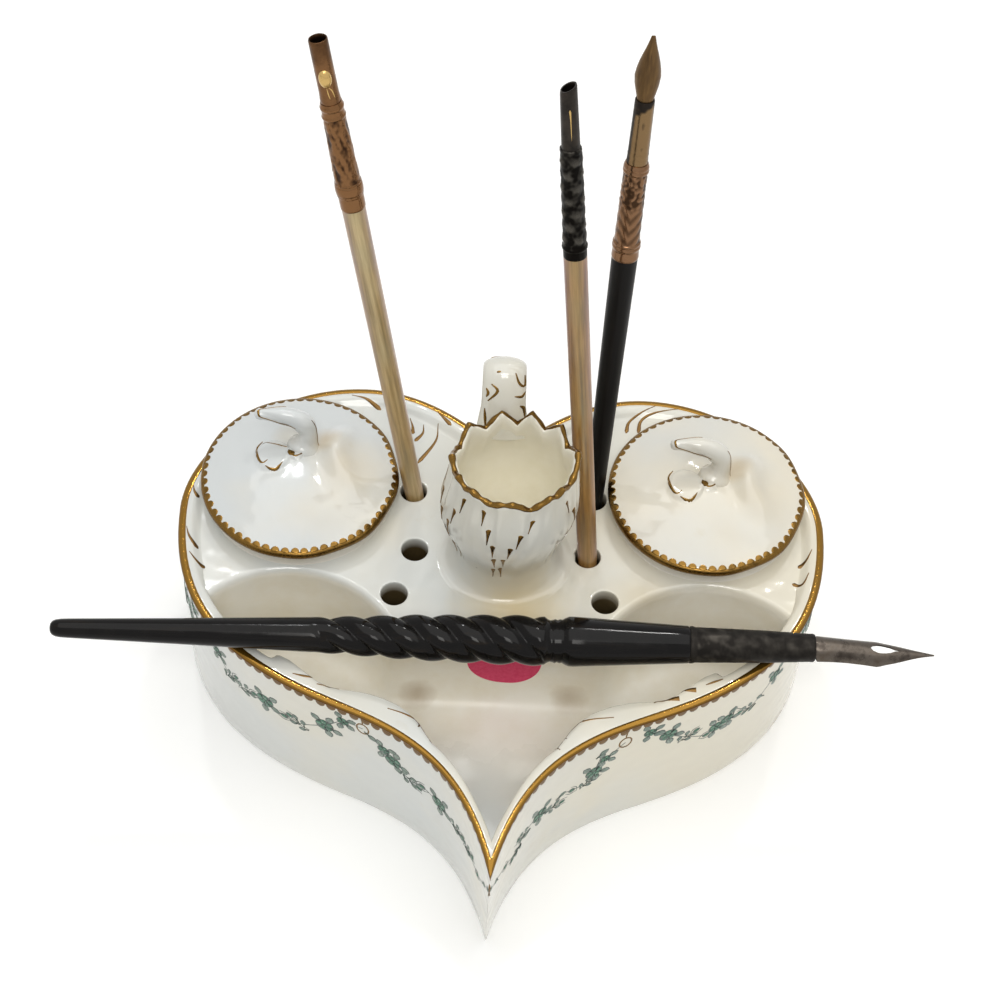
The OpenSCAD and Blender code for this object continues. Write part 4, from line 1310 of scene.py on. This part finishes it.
def pen_shaft(pen, put, lean, top, segments, relief, material):
    """A tapered shaft, given its top two stations; its rounded foot stands on the underside panel."""
    foot = -(DECK_Z - PANEL_TOP_Z) / math.cos(math.radians(lean))
    profile = [(foot, 0.6), (foot + 0.3, 1.3), (foot + 0.9, 1.9), (-4.6, 2.2), (0, 2.5)] + top
    lathed(pen + "_shaft", fine(profile, 6), put, segments, relief, material, pen)


def round_tube(put, face, radius):
    """Maps mm round a tube from the side that faces the writer, station and height to the frame."""
    return lambda u, v, d: put @ polar(radius + d, face + u / radius, v)


PEARL_LEAN = 13.5
PEARL_PUT = pen_frame(PEN_HOLES[0], PEARL_LEAN, 134.3)
PEARL_FACE = facing(PEARL_PUT)


def staves(h, a):
    """Four staves leave faint flats on the turned shaft."""
    return 0.03 * math.cos(4 * a + 0.02 * h)


pen_shaft("pearl_pen", PEARL_PUT, PEARL_LEAN, [(91.7, 2.8), (91.9, 2.6)], 40, staves, PEARL)


def scrollwork(h, a):
    """Raised foliage between the rings at 99 and 116, in five tall panels."""
    if not 99.2 < h < 116.6:
        return 0.75
    k = 5 * (a + 0.035 * (h - 99)) / (2 * math.pi)
    across = abs(k - round(k)) * 2
    waves = math.sin(h * 1.15 + 5 * math.sin(a * 2.5)) * 0.5 + 0.5
    leaf = smooth((0.72 - abs(across - 0.35 - 0.22 * math.sin(h * 0.75 + a * 2))) / 0.5)
    grain = noise.noise(Vector((math.cos(a) * 3, math.sin(a) * 3, h * 0.8)) * 1.3)
    return max(0.0, min(1.0, 0.55 * leaf + 0.35 * waves + 0.4 * grain))


PEARL_GOLD = aged("rolled gold, rubbed and brown with age", "#7A583A", "#38261A", 0.18)
chased("pearl_pen_ferrule",
       [(91.4, 2.2), (91.5, 2.8), (91.8, 2.92), (95.2, 2.95), (95.5, 3.1), (95.8, 3.02), (96.1, 3.22), (97.2, 3.28),
        (98.2, 3.2), (98.6, 3.0), (98.9, 3.12), (99.2, 2.98), (116.4, 2.56), (116.7, 2.72), (117.0, 2.78),
        (117.4, 2.6), (118.6, 2.52), (119.0, 2.7), (119.5, 2.74), (119.9, 2.58), (120.6, 2.4), (120.7, 1.6)],
       PEARL_PUT, scrollwork, 0.22, 0.3, 56, PEARL_GOLD)


def tube_wear_and_light(h, a):
    """The tube is browner towards its open end, where the nib's ink has etched it, and painted lighter
    on the side that faces up towards the writer, as light falling there.
    """
    return 0.55 - 0.25 * smooth((h - 129) / 5) + 0.12 * math.cos(a - PEARL_FACE)


chased("pearl_pen_tube",
       [(120.2, 1.2), (120.2, 2.3), (121.4, 2.36), (123, 2.24), (136.3, 2.2), (136.6, 2.1), (136.65, 1.95),
        (136.5, 1.8), (124.6, 1.8), (124.6, 0.3)],
       PEARL_PUT, tube_wear_and_light, 0.0, 1.0, 48, PEARL_GOLD)
on_pearl_tube = round_tube(PEARL_PUT, PEARL_FACE, 2.2)
# the oval catch is a low dome, with a slit and a scratch below it; they are painted in bright gold
# as a highlight
stud = bmesh.new()
rings = []
for k in range(9):
    c = math.pi / 2 * k / 8
    shape = [(1.45 * math.cos(c) * math.cos(b) - 0.1, 127.6 + 2.35 * math.cos(c) * math.sin(b))
             for b in turns(20)]
    rings.append([on_pearl_tube(u, v, 1.0 * math.sin(c) - (0.3 if k == 0 else 0)) for u, v in shape])
closed(stud, rings[:-1])
stroke(stud, on_pearl_tube, [(0.2, 125.4), (0.9, 124.2), (1.2, 122.4)], 0.35, hair, 0.1, 3)
stroke(stud, on_pearl_tube, [(-0.2, 125.2), (-0.1, 123.6), (0.1, 122.2)], 0.3, hair, 0.1, 3)
HIGHLIGHT_GOLD = gold("bright gold, painted as a highlight", "#C4A468", "#8E6F40", 0.3, 0.12)
finish("pearl_pen_stud", stud, HIGHLIGHT_GOLD, "pearl_pen", ("pearl_pen_stud",))

# ---------------------------------------------------------------------------------------------
# Silver pen. The same kind of pearl shaft with a barrel of thin silver that was raised in bosses
# and has gone nearly black, and a steel nib tube whose end is cut off aslant; a slit in the tube
# is drawn as a line of bright gold on the side towards the writer, a painted highlight.

SILVER_LEAN, SILVER_HEADING = 14, 113
SILVER_PUT = pen_frame(PEN_HOLES[2], SILVER_LEAN, SILVER_HEADING)
SILVER_FACE = facing(SILVER_PUT)
SILVER_PEARL = pearl("mother-of-pearl staves, yellowed", "#785227", "#9A7038", "#B6884C", "#957F55")
pen_shaft("silver_pen", SILVER_PUT, SILVER_LEAN, [(92.7, 2.72), (92.9, 2.5)], 40, staves, SILVER_PEARL)


def bosses(h, a):
    """Foliage raised in round bosses, in bands 3.4 mm tall, with beads under the top band."""
    if h < 95.9:
        return 0.15
    band = (h - 96.4) / 3.4
    k = 4 * (a / (2 * math.pi) + 0.5 * (math.floor(band) % 2) * 0.25)
    u, v = (k - round(k)) * 2, (band - math.floor(band)) * 2 - 1
    lump = math.exp(-(u / 0.55) ** 2 - (v / 0.6) ** 2)
    leafy = 0.35 * noise.noise(Vector((math.cos(a) * 2.7, math.sin(a) * 2.7, h * 0.9)) * 1.2)
    return max(0.0, min(1.0, 0.75 * lump + leafy + 0.15))


TARNISHED = aged("tarnished silver", "#46433E", "#13110F", 0.22)
chased("silver_pen_barrel",
       [(92.4, 2.2), (92.5, 2.75), (92.8, 2.86), (94.9, 2.88), (95.1, 3.05), (95.5, 3.12), (95.9, 3.0), (96.2, 2.82),
        (103, 2.68), (116, 2.6), (119.9, 2.52), (120.6, 2.58), (121.1, 2.5), (121.3, 2.2), (121.3, 1.7)],
       SILVER_PUT, bosses, 0.34, 0.32, 56, TARNISHED)

tube = bmesh.new()
turned(tube, fine([(120.8, 0.8), (120.8, 2.12), (136.2, 1.92), (136.7, 1.8), (136.6, 1.5), (127, 1.5),
                   (127, 0.3)], 2.0), 44)
# the end slants down to the left as the writer sees it
slant = (Matrix.Rotation(math.radians(-SILVER_HEADING), 3, "Z") @ Vector((1, 0.12, 0))).normalized() * 0.42
for v in tube.verts:
    if v.co.z > 135.5 * MM:
        v.co.z += v.co.xy.dot(slant.xy) - 0.5 * MM
bmesh.ops.transform(tube, matrix=own_axes(SILVER_PUT), verts=tube.verts)
BLACK_STEEL, tree, shader, coords = material("blued steel gone brown", "own")
# a dull, nearly black metal with browner stains 3 mm across
stain = lumps(tree, coords, 3, 4.0, 0.6)
coloured(tree, shader, ramp(tree, stain, (0.35, "#211E1B"), (0.7, "#3A342E")), Metallic=0.85, Roughness=0.38)
bump(tree, shader, lumps(tree, coords, 0.7, 3.0), 0.03, 0.5)
finish("silver_pen_tube", tube, BLACK_STEEL, "silver_pen", ("silver_pen_tube",),
       own=own_axes(SILVER_PUT))
# the slit is a line of bright gold, a painted highlight on the side towards the writer
slit = bmesh.new()
stroke(slit, round_tube(SILVER_PUT, SILVER_FACE, 2.0), [(0.0, 131.6), (0.1, 129.5), (0.12, 124.5), (0.1, 121.6)],
       0.5, tail, 0.08, 4)
finish("silver_pen_slit", slit, HIGHLIGHT_GOLD, "silver_pen")

# ---------------------------------------------------------------------------------------------
# Ebony pen. A tapered black shaft, a rolled-gold barrel chased with chevrons between beaded
# rings, and a sleeve of the same gold, painted bright in front and dark behind as light and shade,
# that grips a broad gold nib.

EBONY_LEAN = 12.8
EBONY_PUT = pen_frame(PEN_HOLES[1], EBONY_LEAN, 82)
EBONY_FACE = facing(EBONY_PUT)
EBONY, tree, shader, coords = material("polished ebony", "own")
# black, with the grain along the shaft just felt as a soft sheen
grain = lumps(tree, lengthwise(tree, coords, 0.05), 0.8, 4.0, 0.6)
coloured(tree, shader, ramp(tree, grain, (0.3, "#0B0A0A"), (0.7, "#171513")), Specular_IOR_Level=0.12)
tree.links.new(ramp(tree, grain, (0.3, 0.36), (0.8, 0.5)), shader.inputs["Roughness"])
bump(tree, shader, grain, 0.03, 0.6)
pen_shaft("ebony_pen", EBONY_PUT, EBONY_LEAN, [(76.9, 3.15), (77.1, 2.9)], 44, None, EBONY)


def chevrons(h, a):
    """Chevrons 3.2 mm tall that point down on three sides of the lower half, foliage above them."""
    if not 81.6 < h < 100.4:
        return 0.7
    k = 3 * (a - EBONY_FACE) / (2 * math.pi)
    across = abs(k - round(k)) * 2
    ridge = 0.5 + 0.5 * math.cos(2 * math.pi * (h / 3.2 - across * 1.15))
    foliage = 0.5 + noise.noise(Vector((math.cos(a) * 3, math.sin(a) * 3, h * 0.9)) * 1.2)
    cut = blend(0.35 + 0.45 * ridge, foliage, smooth((h - 90) / 3))
    return max(0.0, min(1.0, cut - 0.35 * smooth((math.cos(a - EBONY_FACE - 2.1) - 0.2) / 0.6)))


EBONY_GOLD = aged("rolled gold with a copper tone", "#7D5E45", "#402E20", 0.2)
chased("ebony_pen_barrel",
       [(76.6, 2.6), (76.7, 3.1), (77.1, 3.24), (79.1, 3.14), (79.5, 3.2), (79.8, 3.34), (80.2, 3.38), (80.6, 3.2),
        (80.9, 3.3), (81.2, 3.32), (81.6, 3.05), (100.3, 2.82), (100.7, 3.0), (101.1, 3.05), (101.5, 2.86),
        (101.9, 2.98), (102.3, 2.9), (103, 2.62), (103.1, 2.0)],
       EBONY_PUT, chevrons, 0.24, 0.26, 60, EBONY_GOLD)


def sleeve_light_and_spots(h, a):
    """A bright panel in front that ends aslant at the top, painted light on the side towards the
    writer, with the back left dark as painted shade, and two dark spots.
    """
    front = math.cos(a - EBONY_FACE - 0.15)
    turn = a - EBONY_FACE
    panel = smooth((front - 0.35) / 0.35) * smooth((117.4 + 1.6 * math.sin(turn) - h) / 0.8)
    spots = mound(h, turn * 2.3, 113.6, 0.1, 1.2, 0.6) + mound(h, turn * 2.3, 107.5, 0.5, 0.9, 0.5)
    return max(0.0, min(1.0, 0.15 + 0.8 * panel - 0.5 * spots))


SLEEVE_GOLD = aged("gold sleeve, painted lit in front and shaded behind", "#7D6547", "#2C2723", 0.26)
sleeve_profile = fine([(102.8, 1.4), (102.8, 2.48), (104, 2.5), (105, 2.42), (105.4, 2.5), (105.8, 2.42),
                       (119.2, 2.28), (119.5, 2.2), (119.5, 1.97), (112, 1.97), (112, 0.3)], 0.9)
chased("ebony_pen_sleeve", sleeve_profile, EBONY_PUT, sleeve_light_and_spots, 0.0, 0.9, 48, SLEEVE_GOLD)


def sheet(bm, put, stations, heel_r, thick, droop=0.0):
    """A strip of curved sheet metal in the nib's own axes, its crown to +x and sinking by droop
    over its length. A station is (height, half width as an angle, radius of the curve, share where
    the strip starts and ends)."""
    rings = []
    for h, wide, radius, start, end in stations:
        rest = heel_r - droop * (max(0, h) / NIB_LENGTH) ** 1.2 - radius
        angles = [math.radians(wide) * blend(start, end, j / 14) for j in range(15)]
        outer = [Vector((rest + radius * math.cos(a), radius * math.sin(a), h)) for a in angles]
        thin = radius - min(thick, radius * 0.6)
        inner = [Vector((rest + thin * math.cos(a), thin * math.sin(a), h)) for a in reversed(angles)]
        rings.append([put @ p for p in outer + inner])
    closed(bm, rings)


NIB_LENGTH = 30
NIB_PUT = EBONY_PUT @ Matrix.Translation((0, 0, 119.5)) @ Matrix.Rotation(EBONY_FACE, 4, "Z")
NIB_GOLD, tree, shader, coords = material("satin gold nib", "own")
# brushed along its length, which gives a soft brown shine without sharp glints
brushed = lumps(tree, lengthwise(tree, coords, 0.15), 0.7, 4.0)
coloured(tree, shader, ramp(tree, brushed, (0.3, "#54402A"), (0.7, "#6E5535")), Metallic=0.9, Roughness=0.42)
bump(tree, shader, brushed, 0.03, 0.5)
nib = bmesh.new()
HALVES = ((-1.0, 0.0), (0.0, 1.0))
body_of_nib = [(-8, 100, 1.88), (0, 98, 1.9), (1.5, 94, 2.3), (3.5, 90, 2.8), (5.5, 88, 3.0)]
sheet(nib, NIB_PUT, [(h, a, r, -1, 1) for h, a, r in body_of_nib], 1.9, 0.3)
for start, end in HALVES:
    tines = [(5.5, 88, 3.0), (7.5, 86, 2.75), (9.5, 84, 2.35), (11.5, 80, 1.85), (13.5, 74, 1.3),
             (15.3, 66, 0.85), (16.3, 60, 0.65), (16.8, 50, 0.55)]
    sheet(nib, NIB_PUT, [(h, a, r, start, end) for h, a, r in tines], 1.9, 0.3)
finish("ebony_pen_nib", nib, NIB_GOLD, "ebony_nib", ("ebony_pen_nib",), own=own_axes(NIB_PUT))

# ---------------------------------------------------------------------------------------------
# Rope-turned pen, lying across the rim. The holder was turned and carved from one length of
# dark horn: a plain tail, a three-strand rope, a waist and a smooth cone. A blackened ferrule
# with worn relief holds a large pointed steel nib with an oval pierced hole.

ROPE_PUT = (Matrix.Translation((0, -48, 51.3)) @ Matrix.Rotation(math.radians(1), 4, "Z")
            @ Matrix.Rotation(math.pi / 2, 4, "Y"))
ROPE_STRANDS = 3
ROPE_PITCH = 25
HORN_PROFILE = [(-109.6, 0.5), (-109.45, 1.2), (-109, 1.75), (-108.2, 2.1), (-107, 2.3), (-105, 2.4), (-80, 3.15),
                (-46, 4.3), (-36, 4.85), (-20, 5.65), (0, 6.15), (10, 6.2), (11.2, 6.0), (12.0, 5.35), (12.6, 5.1),
                (13.2, 5.2), (13.8, 5.42), (14.4, 5.2), (15.0, 5.42), (15.6, 5.3), (16.2, 5.7), (17.2, 6.1),
                (18.5, 6.15), (46.4, 4.62), (47, 4.4), (47, 2.0)]


def rope(h, a):
    """Depth of the strands at station h: round ridges with sharp grooves between."""
    cut = smooth((h + 46.5) / 7) * smooth((12.2 - h) / 2.6)
    phase = ROPE_STRANDS * (a - 2 * math.pi * h / ROPE_PITCH) / 2
    ridge = abs(math.cos(phase + math.pi / 2))
    return -1.5 * cut * (1 - ridge ** 0.62)


HORN_DARK, tree, shader, coords = material("dark polished horn", "own")
# nearly black, with brown streaks a couple of millimetres wide along the grain and grey dust
along_grain = lumps(tree, lengthwise(tree, coords, 0.08), 1.6, 4.0, 0.6)
dust = lumps(tree, coords, 6, 5.0, 0.6)
horn_colour = ramp(tree, along_grain, (0.3, "#080707"), (0.58, "#0F0D0C"), (0.8, "#20180F"))
coloured(tree, shader, over(tree, ramp(tree, dust, (0.5, 0), (0.85, 0.2)), horn_colour, "#24211F"),
         Specular_IOR_Level=0.14)
tree.links.new(ramp(tree, dust, (0.35, 0.06), (0.7, 0.17)), shader.inputs["Roughness"])
bump(tree, shader, along_grain, 0.04, 0.6)
# the carved rope between stations 7 and 13 of the profile needs the finest steps
carved = fine(HORN_PROFILE[:8], 3) + fine(HORN_PROFILE[7:14], 0.5)[1:-1] + fine(HORN_PROFILE[13:], 3)
lathed("rope_pen_holder", carved, ROPE_PUT, 84, rope, HORN_DARK, "rope_pen", 75)


def ferrule_relief(h, a):
    """Leafwork between two plain ends, worn down towards the nib."""
    panel = smooth((h - 48.2) / 0.6) * smooth((76.6 - h) / 0.6)
    leaf = noise.noise(Vector((math.cos(a) * 3, math.sin(a) * 3, h * 0.55)) * 0.75)
    crest = noise.noise(Vector((math.cos(a) * 3 + 7, math.sin(a) * 3, h * 0.9)) * 1.4)
    near_end = smooth((60 - h) / 10)
    return max(0.0, min(1.0, 0.3 + panel * (0.35 + 0.5 * near_end) * (0.8 * leaf + 0.3 * crest)))


BLACKENED = aged("blackened ferrule, worn at the relief", "#393632", "#201E1C", 0.3)
chased("rope_pen_ferrule",
       [(46.6, 2.0), (46.7, 4.4), (47.1, 4.62), (47.7, 4.6), (48.2, 4.42), (66, 4.0), (76.4, 3.5), (77.3, 3.55),
        (77.7, 3.3), (77.7, 2.78), (69, 2.78), (69, 0.4)],
       ROPE_PUT, ferrule_relief, 0.12, 0.6, 64, BLACKENED)

STEEL_NIB, tree, shader, coords = material("steel nib, inked and browned", "own")
# grey steel clouded with dried ink and brown rust over 4 to 5 mm, so it shines unevenly
cloud = lumps(tree, coords, 4.5, 5.0, 0.62)
coloured(tree, shader, ramp(tree, cloud, (0.34, "#3A342F"), (0.52, "#5B544D"), (0.7, "#4E443A")), Metallic=1.0)
tree.links.new(ramp(tree, cloud, (0.35, 0.22), (0.7, 0.4)), shader.inputs["Roughness"])
bump(tree, shader, lumps(tree, coords, 0.8, 3.0), 0.03, 0.5)
STEEL_PUT = ROPE_PUT @ Matrix.Translation((0, 0, 77.7)) @ Matrix.Rotation(math.pi, 4, "Z")
steel = bmesh.new()
HEEL_R, STEEL_T, DROOP = 2.68, 0.35, 4.6
# the pierced oval: the height of its middle, its half height, its half width as a share
EYE_AT, EYE_HALF, EYE_SHARE = 17, 3.2, 0.24
heel = [(-8, 100, 2.67), (0, 100, 2.67), (0.6, 99, 3.3), (4, 96, 3.2), (8, 93, 3.15), (12, 90, 3.25),
        (13.2, 89, 3.3)]
sheet(steel, STEEL_PUT, [(h, a, r, -1, 1) for h, a, r in heel], HEEL_R, STEEL_T, DROOP)
outer_edge = [(13.2, 89, 3.3), (13.8, 89, 3.33), (14.4, 88, 3.36), (15.5, 88, 3.4), (16.5, 86, 3.25),
              (17.5, 85, 3.0), (18.8, 83, 2.75), (20.1, 81, 2.5), (21.8, 78, 2.1), (23.5, 76, 1.65),
              (25.3, 71, 1.22), (27, 66, 0.85), (28.6, 58, 0.55), (30, 50, 0.3)]
for sign in (-1, 1):
    stations = []
    for h, a, r in outer_edge:
        # the pierced oval, and the slit from there to the tip
        eye = EYE_SHARE * math.sqrt(max(0.0, 1 - ((h - EYE_AT) / EYE_HALF) ** 2)) + 0.006
        stations.append((h, a, r, *sorted((sign * eye, sign))))
    sheet(steel, STEEL_PUT, stations, HEEL_R, STEEL_T, DROOP)
finish("rope_pen_nib", steel, STEEL_NIB, "rope_nib", ("rope_pen_nib",), own=own_axes(STEEL_PUT))

# ---------------------------------------------------------------------------------------------
# Paper dot. A small round sticker of bare pink paper, die-cut 19 mm across, stuck on the riser
# behind the pen tray by its own glue.

DOT_AT = Vector((2, RISER_Y - 0.02, 29))
PAPER, tree, shader, coords = material("pink paper")
# matt, its colour a little mottled by the fibres
fibre = lumps(tree, coords, 1.2, 5.0, 0.7)
coloured(tree, shader, ramp(tree, fibre, (0.3, "#D2335F"), (0.7, "#E24D77")), Roughness=0.85)
bump(tree, shader, fibre, 0.03, 0.5)
dot = bmesh.new()
rings = []
for r, y in ((0.5, 0.02), (9.5, 0.02), (9.5, -0.12), (9.2, -0.16), (5, -0.15), (0.5, -0.15)):
    # its face lifts a little at one side, where the glue has let go
    lift = 0.35 if y < 0 else 0
    rings.append([DOT_AT + Vector((r * math.cos(a), y - lift * smooth((r * math.cos(a + 0.9) - 7) / 3),
                                   r * math.sin(a))) for a in turns(64)])
closed(dot, rings)
finish("paper_dot", dot, PAPER, "stand", ("blank_paper_dot",))

# ---------------------------------------------------------------------------------------------
# The setting: a white table top in an evenly lit white room, two small lamps high up behind the
# stand, which put the sharp glints on the glaze, and the camera where a person leaning over the
# desk would look from.

TABLE_PAINT, tree, shader, coords = material("white table paint")
# matt, with a faint glow of its own, which keeps the table evenly white out to the edges
shader.inputs["Base Color"].default_value = paint("#FCFCFB")
shader.inputs["Emission Color"].default_value = grey(1.0)
shader.inputs["Emission Strength"].default_value = 0.12
shader.inputs["Roughness"].default_value = 0.9
table = bmesh.new()
bmesh.ops.create_grid(table, x_segments=2, y_segments=2, size=3.0)
mesh = bpy.data.meshes.new("table_top")
table.to_mesh(mesh)
table.free()
mesh.materials.append(TABLE_PAINT)
table_top = bpy.data.objects.new("table_top", mesh)
bpy.context.scene.collection.objects.link(table_top)

world = bpy.data.worlds.new("soft room")
bpy.context.scene.world = world
world.use_nodes = True
tree = world.node_tree
seen = node(tree, "ShaderNodeLightPath").outputs
room = tree.nodes["Background"]
room.inputs["Color"].default_value = grey(0.28)
white = node(tree, "ShaderNodeBackground", {"Color": grey(1.0), "Strength": 1.0})
sees_white = seen["Is Camera Ray"]
for ray in ("Is Glossy Ray", "Is Transmission Ray"):
    sees_white = node(tree, "ShaderNodeMath", {"operation": "MAXIMUM"}, {0: sees_white, 1: seen[ray]}).outputs[0]
shown = node(tree, "ShaderNodeMixShader", links={0: sees_white, 1: room.outputs[0], 2: white.outputs[0]})
tree.links.new(shown.outputs[0], tree.nodes["World Output"].inputs["Surface"])

# the two spots hang far off, over and behind the stand; the ceiling and the window are broad:
# name, direction from the stand, distance in m, size in m, watts, tint
LAMPS = [
    ("spot_left", Vector((-0.14, 0.51, 0.9)), 2.4, 0.1, 4.0, (0.97, 0.985, 1.0)),
    ("spot_right", Vector((0.19, 0.51, 0.9)), 2.4, 0.1, 4.0, (1.0, 0.985, 0.96)),
    ("ceiling", Vector((0.05, 0.0, 1.0)), 2.0, 2.4, 27.0, (1.0, 0.995, 0.98)),
    ("window", Vector((0.0, -0.56, 0.83)), 2.2, 0.65, 10.5, (1.0, 0.985, 0.95)),
]
for name, towards, away, size, power, tint in LAMPS:
    lamp = bpy.data.lights.new(name, "AREA")
    lamp.size = size
    lamp.energy = power
    lamp.color = tint
    stand_in = bpy.data.objects.new(name, lamp)
    stand_in.location = towards.normalized() * away
    stand_in.rotation_euler = (-towards).to_track_quat("-Z", "Y").to_euler()
    bpy.context.scene.collection.objects.link(stand_in)

CAMERA_AT = Vector((-6.616, -335.10, 497.729)) * MM
CAMERA_LOOK = Vector((0.01038, 0.59544, -0.80333)).normalized()
CAMERA_ROLL = 0.056
camera = bpy.data.objects.new("camera", bpy.data.cameras.new("camera"))
camera.data.sensor_fit = "HORIZONTAL"
camera.data.sensor_width = 36
camera.data.lens = 77.77
level = CAMERA_LOOK.cross(Vector((0, 0, 1))).normalized()
upright = level.cross(CAMERA_LOOK)
right = level * math.cos(CAMERA_ROLL) + upright * math.sin(CAMERA_ROLL)
camera.matrix_world = Matrix((right, right.cross(CAMERA_LOOK), -CAMERA_LOOK)).transposed().to_4x4()
camera.location = CAMERA_AT
bpy.context.scene.collection.objects.link(camera)
bpy.context.scene.camera = camera
bpy.context.scene.view_settings.view_transform = "Standard"
